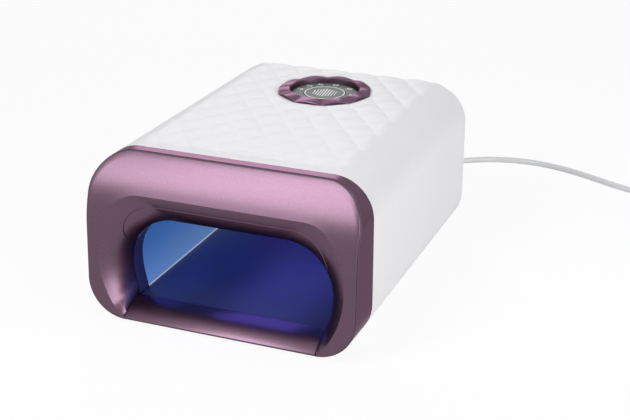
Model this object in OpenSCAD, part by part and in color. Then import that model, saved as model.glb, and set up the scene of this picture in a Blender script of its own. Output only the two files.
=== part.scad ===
// Nail curing lamp: a quilted sleeve with a scooped front mouth, a pull-out tray,
// a light tunnel inside, a round control panel on top and a mains cord at the rear.
// Millimetres. X runs to the right, Y to the rear, Z up. The origin is under the middle.

/* [Body] */
// Width of the housing
body_w = 200; // [180:1:230]
// Height of the housing above its feet
body_h = 118.5; // [110:0.5:135]
// Depth of the quilted sleeve
shell_d = 216; // [205:1:245]
// Corner radius of the housing
corner_r = 28.5; // [24:0.5:32]
// Wall of the quilted sleeve
shell_wall = 2.5; // [2:0.1:3.2]
// How much narrower the sleeve is at the rear
draft_w = 2.4; // [0:0.1:4]
// How much the sleeve's underside rises to the rear
draft_z = 2.6; // [0:0.1:3]
// Height of the rubber feet below the housing
foot_h = 1.5; // [1:0.1:4]
// Diameter of a rubber foot
foot_d = 9; // [6:0.5:10]

/* [Quilting] */
// Width of one diamond
quilt_w = 23.3; // [18:0.1:30]
// Length of one diamond
quilt_l = 32.6; // [26:0.1:40]
// Depth of the seams between diamonds
quilt_depth = 0.9; // [0.4:0.1:1.2]
// Width of a seam at the surface
quilt_seam = 5; // [3:0.5:7]
// Width of a seam at its bottom
quilt_flat = 0.4; // [0.2:0.1:1]

/* [Front bezel] */
// Depth of the bezel at its foot
bezel_d = 34; // [28:1:40]
// How far the lower front leans back over the whole height
front_lean = 5; // [0:0.5:8]
// How far the top of the front lies behind its foot
front_setback = 25; // [20:0.5:27]
// Height where the front starts to curve back
front_curve_h = 66.5; // [60:0.5:75]
// Thickness of the side band
band_t = 3; // [2:0.1:4]
// Thickness of the front face
face_t = 2.4; // [1.8:0.1:3]

/* [Mouth] */
// Width of the front face beside the scoop
side_margin = 8.8; // [7:0.1:12]
// Width of the front face above the scoop
top_margin = 26.2; // [22:0.1:30]
// Radius of the scoop's upper corners
flare_corner_r = 26; // [22:0.5:30]
// Radius of the scoop's sides
flare_side_r = 68; // [60:1:80]
// Height of the widest part of the scoop
flare_mid_h = 47.5; // [45:0.5:50]
// Width of the scoop at each side
scoop_side = 15.2; // [12:0.1:18]
// Width of the scoop at the top
scoop_top = 21.3; // [18:0.1:24]
// Height of the widest part of the tunnel
mouth_mid_h = 36; // [33:0.5:40]
// Distance from the foot of the bezel back to the straight throat
throat_setback = 23; // [18:0.5:26]
// How far the throat reaches into the sleeve
throat_in = 3.5; // [1:0.5:6]

/* [Tray] */
// Height of the tray floor above the underside
floor_h = 10; // [9:0.5:12]
// Thickness of the tray
tray_t = 2; // [1.6:0.1:2.4]
// Thickness of the reflective liner
liner_t = 0.5; // [0.3:0.1:0.8]
// Length of the ramp in front of the crest
ramp_l = 22; // [18:0.5:26]
// Radius of the ramp
ramp_r = 33; // [30:0.5:45]
// Height of the crest above the liner
crest_rise = 0.4; // [0.2:0.1:0.6]
// Width of each tray rail
rail_w = 11.2; // [10.5:0.1:14]

/* [Tunnel] */
// Depth of the bay between the tunnel and the sleeve's rear edge
rear_bay = 37; // [36:1:45]
// Thickness of the reflector sheet
sheet_t = 0.8; // [0.5:0.1:1.2]
// Thickness of the chassis
chassis_t = 2; // [1.6:0.1:2.6]
// Columns of light beads
bead_cols = 4; // [2:1:4]
// Rows of light beads
bead_rows = 6; // [3:1:7]
// Diameter of a light bead
bead_d = 5; // [4:0.2:6]
// Length of the light board
led_board_l = 150; // [140:1:160]

/* [Control panel] */
// Distance of the panel's centre behind the sleeve's front edge
panel_setback = 163; // [155:1:175]
// Outer diameter over the points of the lobed ring
ring_d = 74; // [70:0.5:78]
// Inner diameter of the ring
ring_bore = 52; // [50:0.2:54]
// Height of the ring above the sleeve
ring_h = 4.2; // [2.5:0.1:6]
// Number of lobes
ring_lobes = 10; // [8:1:12]
// Diameter of the start button
button_d = 32; // [28:0.5:34]
// Travel of the start button
button_travel = 0.8; // [0.5:0.1:1]
// Height of the control board's top below the top of the sleeve
board_drop = 14; // [13:0.5:18]

/* [Power board] */
// Width of the power board
power_w = 108; // [100:1:116]
// Height of the power board
power_h = 46; // [42:1:48]
// Length of the standoffs behind the tunnel
standoff_l = 6; // [5:0.5:7]

/* [Cord] */
// Diameter of the mains cord
cord_d = 5; // [4.6:0.1:5]
// Height of the cord gland above the underside
gland_h = 22.5; // [21:0.5:24]
// Length of the strain relief behind the rear panel
relief_l = 26; // [22:1:30]
// Diameter of a plug pin
pin_d = 4; // [4:0.1:4.8]

/* [Clearances] */
// Gap round the sliding tray
slide_gap = 0.3; // [0.2:0.05:0.4]
// Gap between fixed panels
panel_gap = 0.2; // [0.1:0.05:0.3]
// Gap round the start button
button_gap = 0.35; // [0.3:0.05:0.5]

/* [Hidden] */
$fn = 64;
eps = 0.01;

// Main planes
z_base = foot_h;
z_top = z_base + body_h;
y_front = -(bezel_d + shell_d) / 2;
y_shell = y_front + bezel_d;
y_rear = -y_front;
half_w = body_w / 2;

// Front profile: a leaning line that runs into an arc
lean_k = front_lean / body_h;
lean_n = sqrt(1 + lean_k * lean_k);
z_curve = z_base + front_curve_h;
y_curve = y_front + lean_k * front_curve_h;
curve_rise = body_h - front_curve_h;
curve_run = front_setback - lean_k * front_curve_h;
curve_bow = curve_run - lean_k * curve_rise;
front_curve_r = (pow(curve_run, 2) + pow(curve_rise, 2)) * lean_n / (2 * curve_bow);
curve_cy = y_curve + front_curve_r / lean_n;
curve_cz = z_curve - front_curve_r * lean_k / lean_n;

// Scoop outline
flare_half = half_w - side_margin;
flare_top = z_top - top_margin;
flare_mid = z_base + flare_mid_h;
flare_side_x = flare_half - flare_side_r;
flare_corner_z = flare_top - flare_corner_r;
flare_step = flare_side_r - flare_corner_r;
flare_corner_x = flare_side_x + sqrt(pow(flare_step, 2) - pow(flare_corner_z - flare_mid, 2));

// Tunnel outline: side arcs about the middle, round upper corners, flat ceiling
zc = z_base + mouth_mid_h;
mouth_half = flare_half - scoop_side;
mouth_top = flare_top - scoop_top;
mouth_r = mouth_top - zc;
mouth_cx = mouth_half - mouth_r;
y_throat = y_front + throat_setback;
y_tube = y_shell + throat_in;

// Visor in the scoop: where its edge runs, where its ends bend down, and its recess
visor_edge_share = 0.364;
visor_bend_share = 0.62;
visor_end_share = 0.7;
visor_pocket = 1.1;

// Tray and rails
rail_gap = 0.1;
skirt_lift = 1.8;
lip_lift = 0.8;
slot_gap = 0.8;
flange_w = 14;
base_screw_in = 5.5;
base_screw_l = 14;
z_floor = z_base + floor_h;
z_tray = z_floor - liner_t;
z_tray_low = z_tray - tray_t;
z_rail = z_tray_low - rail_gap;
z_skirt = z_base + skirt_lift;
z_lip = z_base + lip_lift;
z_crest = z_floor + crest_rise;
y_crest = y_front + ramp_l;
tray_half = sqrt(pow(mouth_half, 2) - pow(zc - z_floor, 2)) + 0.3;
seam_half = tray_half + slide_gap;
slot_half = tray_half + slot_gap;
rail_in = tray_half - rail_w - 0.5;
skirt_t = 2.4;
skirt_out = rail_in - slide_gap;
flange_out = slot_half + flange_w;
screw_x = slot_half + base_screw_in;
z_reflector = z_floor + slide_gap;
z_throat_end = z_crest + slide_gap + 0.1;

// Tunnel
tunnel_d = shell_d - rear_bay;
y_tunnel = y_shell + tunnel_d;
chassis_in = sheet_t + panel_gap;
z_roof = mouth_top + chassis_in + chassis_t;
y_chassis_end = y_tunnel + sheet_t + panel_gap + chassis_t;
y_tray_end = y_chassis_end - 0.2;
y_base_rear = y_chassis_end + 2;
bead_dx = (2 * mouth_cx - 16) / bead_cols;
bead_dy = (led_board_l - 20) / bead_rows;
y_led = y_tube + 5 + led_board_l / 2;
led_board_w = 2 * mouth_cx - 2;
led_board_t = 1.6;
window_half = led_board_w / 2 - 7;
led_screw_x = led_board_w / 2 - 3.2;
led_screw_y = led_board_l / 2 - 5;
base_screw_ys = [y_shell + 15, y_shell + tunnel_d / 2 + 8, y_tunnel - 8];
function rise(y) = draft_z * (y - y_shell) / shell_d;
function screw_seat(y) = z_base + 2.1 + rise(y);

// Rear panel
rear_t = 2.5;
y_panel_out = y_rear - 1;
y_panel_in = y_panel_out - rear_t;
boss_in = 2.9;
boss_off = (corner_r - shell_wall - boss_in) * sqrt(0.5);
boss_x = half_w - draft_w / 2 - corner_r + boss_off;
boss_zs = [z_base + draft_z + corner_r - boss_off, z_top - corner_r + boss_off];
boss_d = 8;
boss_l = 17;
rear_screw_l = 10;
rear_head_r = 2.4;
rear_head_h = 0.9;

// Control panel
y_panel = y_shell + panel_setback;
ring_in = ring_bore / 2;
collar_r = ring_in + 2.2;
z_disc = z_top - 1;
disc_t = 2;
z_ledge = z_disc - disc_t;
z_board = z_top - board_drop;
board_t = 1.6;
board_x = 60;
board_y = 56;
board_bx = 25.5;
board_by = 23.5;
switch_h = 3.5;
z_switch = z_board + switch_h;
plunger_r = 1.7;
plunger_rise = 1.1;
button_r = button_d / 2;
label_r = button_r + 4.5;

// Power board
y_power = y_chassis_end + standoff_l;
power_t = 1.6;
y_parts = y_power + power_t;
z_power = z_base + 28;
power_sx = power_w / 2 - 6;
power_szs = [z_power + 5, z_power + power_h - 14];
header_z = z_power + power_h;

// Cord gland and inner mains lead
z_gland = z_base + gland_h;
gland_r = 5;
y_gland_in = y_panel_in - 4.5;
y_gland_out = y_rear + relief_l;
cord_r = cord_d / 2;

// Cord route along the table, to the start of the coil
coil_x = 270;
coil_y = 196;
coil_out = 37.5;
coil_turns = 6.1944;
coil_start = 70;
coil_step = cord_d + 0.6;
coil_rise = cord_d + 0.6;
coil_lift = 0.6;
coil_z = cord_r + coil_lift;
coil_tail = 26;
coil_run = cord_d + 1;
coil_head = [sin(coil_start), -cos(coil_start), 0];
coil_entry = [coil_x + coil_out * cos(coil_start), coil_y + coil_out * sin(coil_start), coil_z];
coil_first = coil_entry - coil_run * coil_head;
plug_z = 8;
plug_y = coil_y - coil_tail;
plug_x = coil_x + coil_out;
lead_route = concat(
    [
        [0, y_gland_out, z_gland],
        [0, y_gland_out + 14, z_gland - 0.6],
        [1, y_gland_out + 28, z_gland - 4.5],
        [3, y_gland_out + 42, z_gland - 11.5],
        [7, y_gland_out + 56, cord_r + 3.4],
        [13, y_gland_out + 70, cord_r + 0.3],
        [22, 234, cord_r],
        [33, 249, cord_r],
        [45, 262.5, cord_r],
        [59, 273.5, cord_r],
        [78, 284.5, cord_r],
        [99, 290.5, cord_r],
        [121, 291.5, cord_r],
        [145, 286.5, cord_r],
        [169, 277, cord_r],
        [192, 265.5, cord_r],
        [212, 257, cord_r]
    ],
    [
        coil_first - 32 * coil_head - [0, 0, coil_lift],
        coil_first - 16 * coil_head - [0, 0, coil_lift / 2],
        coil_first
    ]
);

// Drawing helpers: a flat outline pushed along Y or along X
module along_y(y0, y1) {
    translate([0, y1, 0]) rotate([90, 0, 0]) linear_extrude(y1 - y0) children();
}

module along_x(x0, x1) {
    translate([x0, 0, 0]) rotate([90, 0, 90]) linear_extrude(x1 - x0) children();
}

module box(x0, x1, y0, y1, z0, z1) {
    translate([x0, y0, z0]) cube([x1 - x0, y1 - y0, z1 - z0]);
}

module post(x, y, z0, z1, r) {
    translate([x, y, z0]) cylinder(h = z1 - z0, r = r);
}

module rod_y(x, z, y0, y1, r) {
    translate([x, y1, z]) rotate([90, 0, 0]) cylinder(h = y1 - y0, r = r);
}

// Rounded outline of the housing, drawn in by a margin, at a share of the way to the rear
module body_2d(inset, share = 0) {
    w = body_w - draft_w * share - 2 * inset;
    r = corner_r - inset;
    z0 = z_base + draft_z * share + inset;
    z1 = z_top - inset;
    translate([-w / 2, z0 + r]) square([w, z1 - z0 - 2 * r]);
    translate([-w / 2 + r, z0]) square([w - 2 * r, z1 - z0]);
    for (sx = [-1, 1]) {
        translate([sx * (w / 2 - r), z0 + r]) circle(r);
        translate([sx * (w / 2 - r), z1 - r]) circle(r);
    }
}

// Solid inside the drafted sleeve, drawn in by a margin, between two planes
sleeve_arc = 14;
function sleeve_ring(inset, y) =
    let (
        share = (y - y_shell) / shell_d,
        r = corner_r - inset,
        x = half_w - draft_w * share / 2 - inset - r,
        z0 = z_base + draft_z * share + inset + r,
        z1 = z_top - inset - r
    )
    [
        for (q = [0:3], k = [0:sleeve_arc])
            let (a = 90 * (q + k / sleeve_arc))
            [(q == 0 || q == 3 ? x : -x) + r * cos(a), y, (q < 2 ? z1 : z0) + r * sin(a)]
    ];
module sleeve_solid(inset, y0, y1) {
    n = 4 * (sleeve_arc + 1);
    polyhedron(
        concat(sleeve_ring(inset, y0), sleeve_ring(inset, y1)),
        concat(
            [for (j = [0:n - 1]) [j, (j + 1) % n, (j + 1) % n + n, j + n]],
            [[for (j = [n - 1:-1:0]) j]],
            [[for (j = [0:n - 1]) j + n]]
        )
    );
}

// Tunnel outline, grown outward by a margin and cut off at a height
module arch_2d(grow, z_low) {
    intersection() {
        union() {
            for (sx = [-1, 1]) translate([sx * mouth_cx, zc]) circle(mouth_r + grow);
            translate([-mouth_cx, zc - 5]) square([2 * mouth_cx, mouth_r + grow + 5]);
            intersection() {
                translate([0, zc]) circle(mouth_half + grow);
                translate([-body_w, 0]) square([2 * body_w, zc]);
            }
        }
        translate([-body_w, z_low]) square([2 * body_w, body_h]);
    }
}

// Side view of everything behind the front profile, moved back by a distance
module behind_front_2d(back) {
    low = z_base - 2;
    high = z_top + 1;
    steps = 40;
    polygon(concat(
        [for (i = [0:steps]) let (z = mix(low, high, i / steps)) [front_y(z) + back, z]],
        [[y_rear, high], [y_rear, low]]
    ));
}

// Front profile: depth of the face at a height
function front_y(z) =
    z < z_curve
        ? y_front + lean_k * (z - z_base)
        : curve_cy - sqrt(pow(front_curve_r, 2) - pow(z - curve_cz, 2));

// Distance along a ray from the middle of the mouth to a circle, and to the three outlines
function hit(p, cx, cz, r) =
    let (ux = cos(p), uz = sin(p), b = ux * cx + uz * cz)
    b + sqrt(max(0, b * b - (cx * cx + cz * cz) + r * r));

function mouth_ray(p) =
    let (q = p > 90 ? 180 - p : p, t = hit(q, mouth_cx, 0, mouth_r))
    q <= 0 ? mouth_half : (t * cos(q) < mouth_cx ? mouth_r / sin(q) : t);

function flare_ray(p) =
    let (
        q = p > 90 ? 180 - p : p,
        t = hit(q, flare_corner_x, flare_corner_z - zc, flare_corner_r),
        a = atan2(t * sin(q) - (flare_corner_z - zc), t * cos(q) - flare_corner_x),
        a0 = asin((flare_corner_z - flare_mid) / flare_step)
    )
    a > 90 ? (flare_top - zc) / sin(q)
        : a > a0 ? t : hit(q, flare_side_x, flare_mid - zc, flare_side_r);

function body_ray(p, inset) =
    let (
        q = p > 90 ? 180 - p : p,
        w = half_w - inset,
        r = corner_r - inset,
        top = z_top - inset - zc,
        low = z_base + inset - zc,
        cz = q > 0 ? top - r : low + r,
        t = hit(q, w - r, cz, r),
        ts = w / cos(q),
        zs = ts * sin(q)
    )
    zs < top - r && zs > low + r ? ts
        : t * cos(q) < w - r ? (q > 0 ? top : low) / sin(q) : t;

// Ray angle at a share of the way round, where both ends stop at a point beside the tray
function ray_at(u, x_end, z_end) = 90 - u * (90 + atan2(zc - z_end, x_end));
function ray_point(p, r) = [r * cos(p), zc + r * sin(p)];

function body_at(u, inset) =
    let (p = ray_at(u, seam_half, z_base + inset)) ray_point(p, body_ray(p, inset));
flare_end_z = z_base + 1.6;
flare_end_x = flare_side_x + sqrt(pow(flare_side_r, 2) - pow(flare_mid - flare_end_z, 2));
function flare_at(u) = let (p = ray_at(u, flare_end_x, flare_end_z)) ray_point(p, flare_ray(p));
mouth_end_x = sqrt(pow(mouth_half, 2) - pow(zc - z_throat_end, 2));
function mouth_at(u, grow) =
    let (p = ray_at(u, mouth_end_x, z_throat_end)) ray_point(p, mouth_ray(p) + grow);

function mix(a, b, t) = a + (b - a) * t;
function bez(a, b, c, d, t) =
    pow(1 - t, 3) * a + 3 * t * pow(1 - t, 2) * b + 3 * t * t * (1 - t) * c + pow(t, 3) * d;
function face_point(p, back) = [p[0], front_y(p[1]) + back, p[1]];
function flat_point(p, y) = [p[0], y, p[1]];
function scoop_point(f, m, t, back) =
    let (
        a = bez(0, 0.35, 1, 1, t),
        p = mix(f, m, a),
        yf = front_y(f[1]),
        y = bez(yf, mix(yf, y_throat, 0.6), mix(yf, y_throat, 0.55), y_throat, t)
    )
    [p[0], min(y + back, y_shell - 1), p[1]];

// The visor lies in a shallow recess round the upper half of the scoop
function visor_turn(u) = min(1, max(0, (abs(u) - visor_bend_share) / (visor_end_share - visor_bend_share)));
function visor_t(u) = mix(visor_edge_share, 0.94, pow(visor_turn(u), 2));
function visor_dip(u) = abs(u) < visor_end_share ? visor_pocket : 0;
visor_ts = [0.02, 0.25, 0.5, 0.75, 1];

// One section through the bezel: front line first, then the back line in the same order
function bezel_front(u) =
    let (
        o = body_at(u, 0.4),
        e = body_at(u, 0.9),
        f = flare_at(u),
        m = mouth_at(u, 0),
        dip = visor_dip(u),
        n = mouth_at(u, dip),
        v = visor_t(u)
    )
    concat(
        [face_point(o, 1.5), face_point(o, 0.5), face_point(e, 0)],
        [for (t = [0.3, 0.65, 1]) face_point(mix(e, f, t), 0)],
        [for (t = [0.35, 0.7, 1]) scoop_point(f, m, t * v, 0)],
        [for (t = visor_ts) scoop_point(f, n, mix(v, 1, t), dip)],
        [flat_point(m, y_throat + visor_pocket + 0.3), flat_point(m, y_tube)]
    );
function bezel_back(u) =
    let (
        o = body_at(u, 1.2),
        e = body_at(u, 2.2),
        g = body_at(u, band_t + 0.4),
        f = mix(flare_at(u), g, 0.1),
        m = mouth_at(u, face_t),
        v = visor_t(u)
    )
    concat(
        [face_point(o, 1.5), face_point(e, 1.5), face_point(g, 1.5)],
        [for (t = [0.3, 0.65, 0.95]) face_point(mix(g, f, t), face_t)],
        [for (t = [0.35, 0.7, 1]) scoop_point(f, m, t * v, face_t)],
        [for (t = visor_ts) scoop_point(f, m, mix(v, 1, t), face_t)],
        [flat_point(m, y_throat + face_t + 0.3), flat_point(m, y_tube)]
    );
function visor_front(u) =
    let (f = flare_at(u), m = mouth_at(u, 0), v = visor_t(u))
    [for (t = visor_ts) scoop_point(f, m, mix(v, 1, max(t, 0.04)), 0)];
function visor_back(u) =
    let (f = flare_at(u), dip = visor_pocket - 0.15, m = mouth_at(u, dip), v = visor_t(u))
    [for (t = visor_ts) scoop_point(f, m, mix(v, 1, max(t, 0.04)), dip)];

// Closed skin over a row of sections, with both ends capped between front and back lines
function loft_faces(rows, half) =
    let (n = 2 * half, last = (rows - 1) * n)
    concat(
        [
            for (i = [0:rows - 2], j = [0:n - 1], k = [0, 1])
                let (a = i * n + j, b = i * n + (j + 1) % n, c = a + n, d = b + n)
                k == 0 ? [a, b, d] : [a, d, c]
        ],
        [
            for (j = [0:half - 2], k = [0, 1])
                let (a = j, b = j + 1, c = n - 1 - j, d = n - 2 - j)
                k == 0 ? [a, d, b] : [a, c, d]
        ],
        [
            for (j = [0:half - 2], k = [0, 1])
                let (a = last + j, b = last + j + 1, c = last + n - 1 - j, d = last + n - 2 - j)
                k == 0 ? [a, b, d] : [a, d, c]
        ]
    );
function flip(list) = [for (i = [len(list) - 1:-1:0]) list[i]];

// Round tube along points, with its ends cut square
function unit(v) = v / norm(v);
function tangent(p, i) = unit(p[min(i + 1, len(p) - 1)] - p[max(i - 1, 0)]);
function tube_points(p, r, sides, ref) = [
    for (i = [0:len(p) - 1])
        let (t = tangent(p, i), a = unit(cross(t, ref)), b = cross(a, t))
        for (j = [0:sides - 1]) p[i] + r * (cos(360 * j / sides) * a + sin(360 * j / sides) * b)
];
function tube_faces(rings, sides) =
    let (last = (rings - 1) * sides)
    concat(
        [
            for (i = [0:rings - 2], j = [0:sides - 1], k = [0, 1])
                let (a = i * sides + j, b = i * sides + (j + 1) % sides, c = a + sides, d = b + sides)
                k == 0 ? [a, b, d] : [a, d, c]
        ],
        [for (j = [1:sides - 2]) [0, j + 1, j]],
        [for (j = [1:sides - 2]) [last, last + j, last + j + 1]]
    );
module tube(p, r, sides, ref) {
    polyhedron(tube_points(p, r, sides, ref), tube_faces(len(p), sides));
}

// Smooth line through route points
function spline(a, b, c, d, t) =
    0.5 * (2 * b + (c - a) * t + (2 * a - 5 * b + 4 * c - d) * t * t
        + (3 * b - a - 3 * c + d) * pow(t, 3));
function smooth(p, steps) =
    let (n = len(p))
    concat(
        [
            for (i = [0:n - 2], k = [0:steps - 1])
                let (
                    a = i > 0 ? p[i - 1] : 2 * p[0] - p[1],
                    d = i < n - 2 ? p[i + 2] : 2 * p[n - 1] - p[n - 2]
                )
                spline(a, p[i], p[i + 1], d, k / steps)
        ],
        [p[n - 1]]
    );

// Screw with a flat round head, pointing up from its seat
module screw_up(x, y, z_seat, head_r, head_h, shank_r, length) {
    post(x, y, z_seat - head_h, z_seat, head_r);
    post(x, y, z_seat - eps, z_seat + length, shank_r);
}

// Seams between the quilted diamonds, counted from the row at the rear edge
quilt_y = y_rear - 2;
quilt_a = atan2(quilt_w, quilt_l);
module quilt_seams() {
    across = ceil(body_w / 2 / quilt_w);
    along = ceil(shell_d / quilt_l);
    for (side = [-1, 1], k = [-across - along:across])
        translate([0, quilt_y + quilt_l * k, z_top])
            rotate([0, 0, side * quilt_a])
                rotate([90, 0, 0])
                    linear_extrude(2 * shell_d, center = true)
                        polygon([
                            [-quilt_seam / 2, eps],
                            [-quilt_flat / 2, -quilt_depth],
                            [quilt_flat / 2, -quilt_depth],
                            [quilt_seam / 2, eps]
                        ]);
}

// Quilted sleeve, with bosses for the rear panel and the control board
module outer_shell() {
    color("white") difference() {
        union() {
            difference() {
                sleeve_solid(0, y_shell, y_rear);
                sleeve_solid(shell_wall, y_shell - 1, y_rear + 1);
                box(-slot_half, slot_half, y_shell - 1, y_rear + 1, 0, z_base + draft_z + shell_wall + 1);
            }
            intersection() {
                sleeve_solid(shell_wall / 2, y_shell, y_rear);
                for (sx = [-1, 1], z = boss_zs)
                    rod_y(sx * boss_x, z, y_panel_in - boss_l, y_panel_in, boss_d / 2);
            }
            for (sx = [-1, 1], sy = [-1, 1])
                post(sx * board_bx, y_panel + sy * board_by, z_board, z_top - shell_wall / 2, 3.5);
        }
        quilt_seams();
        post(0, y_panel, z_top - 10, z_top + 5, collar_r + 0.3);
        for (sx = [-1, 1], z = boss_zs) rod_y(sx * boss_x, z, y_panel_in - boss_l + 3, y_panel_in + 1, 1.3);
        for (sx = [-1, 1], sy = [-1, 1])
            post(sx * board_bx, y_panel + sy * board_by, z_board - 1, z_board + 9, 1.25);
        for (sx = [-1, 1], y = base_screw_ys) {
            post(sx * screw_x, y, -1, screw_seat(y), 3.2);
            post(sx * screw_x, y, -1, z_base + 12, 1.7);
        }
    }
}

// Rear panel with vent slots, gland hole and screw holes
vent_rows = 6;
vent_pitch = 8;
vent_slot = 3;
vent_half = 35;
vent_mid_h = 68.7;
module rear_panel() {
    color("gainsboro") difference() {
        union() {
            along_y(y_panel_in, y_panel_out) body_2d(shell_wall + panel_gap, 1);
            box(-slot_half + panel_gap, slot_half - panel_gap, y_panel_in, y_panel_out,
                z_base + 2.5 + panel_gap, z_base + corner_r);
        }
        for (i = [0:vent_rows - 1]) {
            z = z_base + vent_mid_h + (i - (vent_rows - 1) / 2) * vent_pitch;
            box(-vent_half, vent_half, y_panel_in - 1, y_panel_out + 1, z - vent_slot / 2, z + vent_slot / 2);
        }
        rod_y(0, z_gland, y_panel_in - 1, y_panel_out + 1, gland_r + 0.1);
        for (sx = [-1, 1], z = boss_zs) rod_y(sx * boss_x, z, y_panel_in - 1, y_panel_out + 1, 1.6);
    }
}

module rear_screws() {
    color("silver") for (sx = [-1, 1], z = boss_zs) {
        rod_y(sx * boss_x, z, y_panel_out, y_panel_out + rear_head_h, rear_head_r);
        rod_y(sx * boss_x, z, y_panel_in - rear_screw_l, y_panel_out + eps, 1.2);
    }
}

// Base frame: two rails joined by a plate under the rear compartment
module base_frame() {
    y0 = y_shell + panel_gap;
    y1 = y_panel_out - 0.5;
    y2 = y_panel_in - panel_gap;
    color("gainsboro") difference() {
        union() {
            for (sx = [0, 1]) mirror([sx, 0, 0]) {
                box(rail_in, slot_half - panel_gap, y0, y2, z_base, z_rail);
                intersection() {
                    sleeve_solid(shell_wall + 0.1, y0, y2);
                    box(slot_half - 1, flange_out, y0, y2, z_base + shell_wall + 0.2, z_rail);
                }
            }
            box(-slot_half + panel_gap, slot_half - panel_gap, y_base_rear, y1, z_base, z_base + 2.5);
        }
        for (sx = [-1, 1]) {
            for (y = base_screw_ys) post(sx * screw_x, y, 0, z_rail + 1, 1.7);
            for (y = [y_shell + 14, y_rear - 20]) post(sx * foot_x, y, 0, z_base + 1, foot_d / 2 + 0.1);
        }
    }
}
foot_x = (rail_in + slot_half - panel_gap) / 2;

module rubber_feet() {
    color("dimgray") for (sx = [-1, 1], y = [y_shell + 14, y_rear - 20])
        post(sx * foot_x, y, 0, z_base + 1, foot_d / 2);
}

module base_screws() {
    color("silver") for (sx = [-1, 1], y = base_screw_ys)
        screw_up(sx * screw_x, y, screw_seat(y), 2.8, 1.5, 1.4, base_screw_l - rise(y));
}

// Mauve collar between the sleeve and the front face
module bezel_band() {
    color("plum") intersection() {
        along_y(y_front - 5, y_shell) difference() {
            body_2d(0);
            body_2d(band_t);
            translate([-seam_half, 0]) square([2 * seam_half, z_base + corner_r]);
        }
        along_x(-body_w, body_w) behind_front_2d(1.6);
    }
}

// Mauve front face with the scoop and the straight throat
bezel_rows = 96;
bezel_us = [for (i = [0:bezel_rows]) 1 - 2 * i / bezel_rows];
module front_bezel() {
    pts = [for (u = bezel_us) each concat(bezel_front(u), flip(bezel_back(u)))];
    color("plum") polyhedron(pts, loft_faces(len(bezel_us), len(bezel_front(0))));
}

// Arched visor, flush with the scoop round the upper half of the mouth
module mouth_visor() {
    us = [for (u = bezel_us) if (abs(u) < visor_end_share - 1 / bezel_rows) u];
    pts = [for (u = us) each concat(visor_front(u), flip(visor_back(u)))];
    color("mediumorchid") polyhedron(pts, loft_faces(len(us), len(visor_ts)));
}

// Chassis: the arch over the tunnel, its side flanges, rear wall and standoffs
flange_t = 2.5;
post_r = 4.2;
post_h = 11;
module tunnel_chassis() {
    y0 = y_tube + panel_gap;
    color("lightgray") difference() {
        union() {
            along_y(y0, y_chassis_end) difference() {
                arch_2d(chassis_in + chassis_t, z_rail);
                arch_2d(chassis_in, 0);
            }
            along_y(y_chassis_end - chassis_t, y_chassis_end)
                arch_2d(chassis_in + chassis_t, z_reflector + 0.5);
            intersection() {
                union() {
                    for (sx = [0, 1]) mirror([sx, 0, 0])
                        box(slot_half, flange_out, y0, y_chassis_end, z_rail, z_rail + flange_t);
                    for (sx = [-1, 1], y = base_screw_ys)
                        post(sx * screw_x, y, z_rail, z_rail + post_h, post_r);
                }
                along_y(y0, y_chassis_end) difference() {
                    translate([-body_w, 0]) square([2 * body_w, body_h]);
                    arch_2d(chassis_in + chassis_t / 2, 0);
                }
                sleeve_solid(shell_wall + slide_gap, y_shell, y_rear);
            }
            for (sx = [-1, 1], z = power_szs) rod_y(sx * power_sx, z, y_chassis_end - 1, y_power, 3.5);
        }
        box(-slot_half, slot_half, y0 - 1, y_chassis_end + 1, 0, z_reflector);
        for (sx = [-1, 1], y = base_screw_ys)
            post(sx * screw_x, y, z_rail - 1, z_rail + post_h - 2, 1.45);
        for (sx = [-1, 1], z = power_szs) rod_y(sx * power_sx, z, y_chassis_end - 1, y_power + 1, 1.25);
        box(-window_half, window_half, y_led - led_board_l / 2 + 9, y_led + led_board_l / 2 - 9, zc, z_top);
        for (sx = [-1, 1], sy = [-1, 1])
            post(sx * led_screw_x, y_led + sy * led_screw_y, mouth_top, z_roof + 1, 1.25);
    }
}

// Bright sheet over one side of the tunnel, from the tray edge to the ceiling
module side_reflector() {
    color("lightsteelblue") along_y(y_tube + panel_gap, y_tunnel) intersection() {
        difference() {
            arch_2d(sheet_t, z_reflector);
            arch_2d(0, 0);
        }
        translate([mouth_cx + 0.1, 0]) square([body_w, body_h]);
    }
}

module right_reflector() {
    side_reflector();
}

module left_reflector() {
    mirror([1, 0, 0]) side_reflector();
}

function bead_x(i) = (i - (bead_cols - 1) / 2) * bead_dx;
function bead_y(j) = y_led + (j - (bead_rows - 1) / 2) * bead_dy;

module ceiling_reflector() {
    color("lightsteelblue") difference() {
        box(-mouth_cx, mouth_cx, y_tube + panel_gap, y_tunnel, mouth_top, mouth_top + sheet_t);
        for (i = [0:bead_cols - 1], j = [0:bead_rows - 1])
            post(bead_x(i), bead_y(j), mouth_top - 1, mouth_top + sheet_t + 1, bead_d / 2 + 0.4);
    }
}

module rear_reflector() {
    color("lightsteelblue") along_y(y_tunnel + 0.1, y_tunnel + 0.1 + sheet_t) arch_2d(sheet_t, z_reflector);
}

// Light board on the chassis roof, with a wire header at its rear end
header_w = 8;
header_t = 5;
led_header = [-led_board_w / 4, y_led + led_board_l / 2 - header_w];
module led_board() {
    color("seagreen") difference() {
        box(-led_board_w / 2, led_board_w / 2, y_led - led_board_l / 2, y_led + led_board_l / 2,
            z_roof, z_roof + led_board_t);
        for (sx = [-1, 1], sy = [-1, 1])
            post(sx * led_screw_x, y_led + sy * led_screw_y, z_roof - 1, z_roof + 3, 1.5);
    }
    color("ivory") translate([led_header[0], led_header[1], z_roof + led_board_t - eps])
        linear_extrude(header_t) square(header_w, center = true);
}

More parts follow.
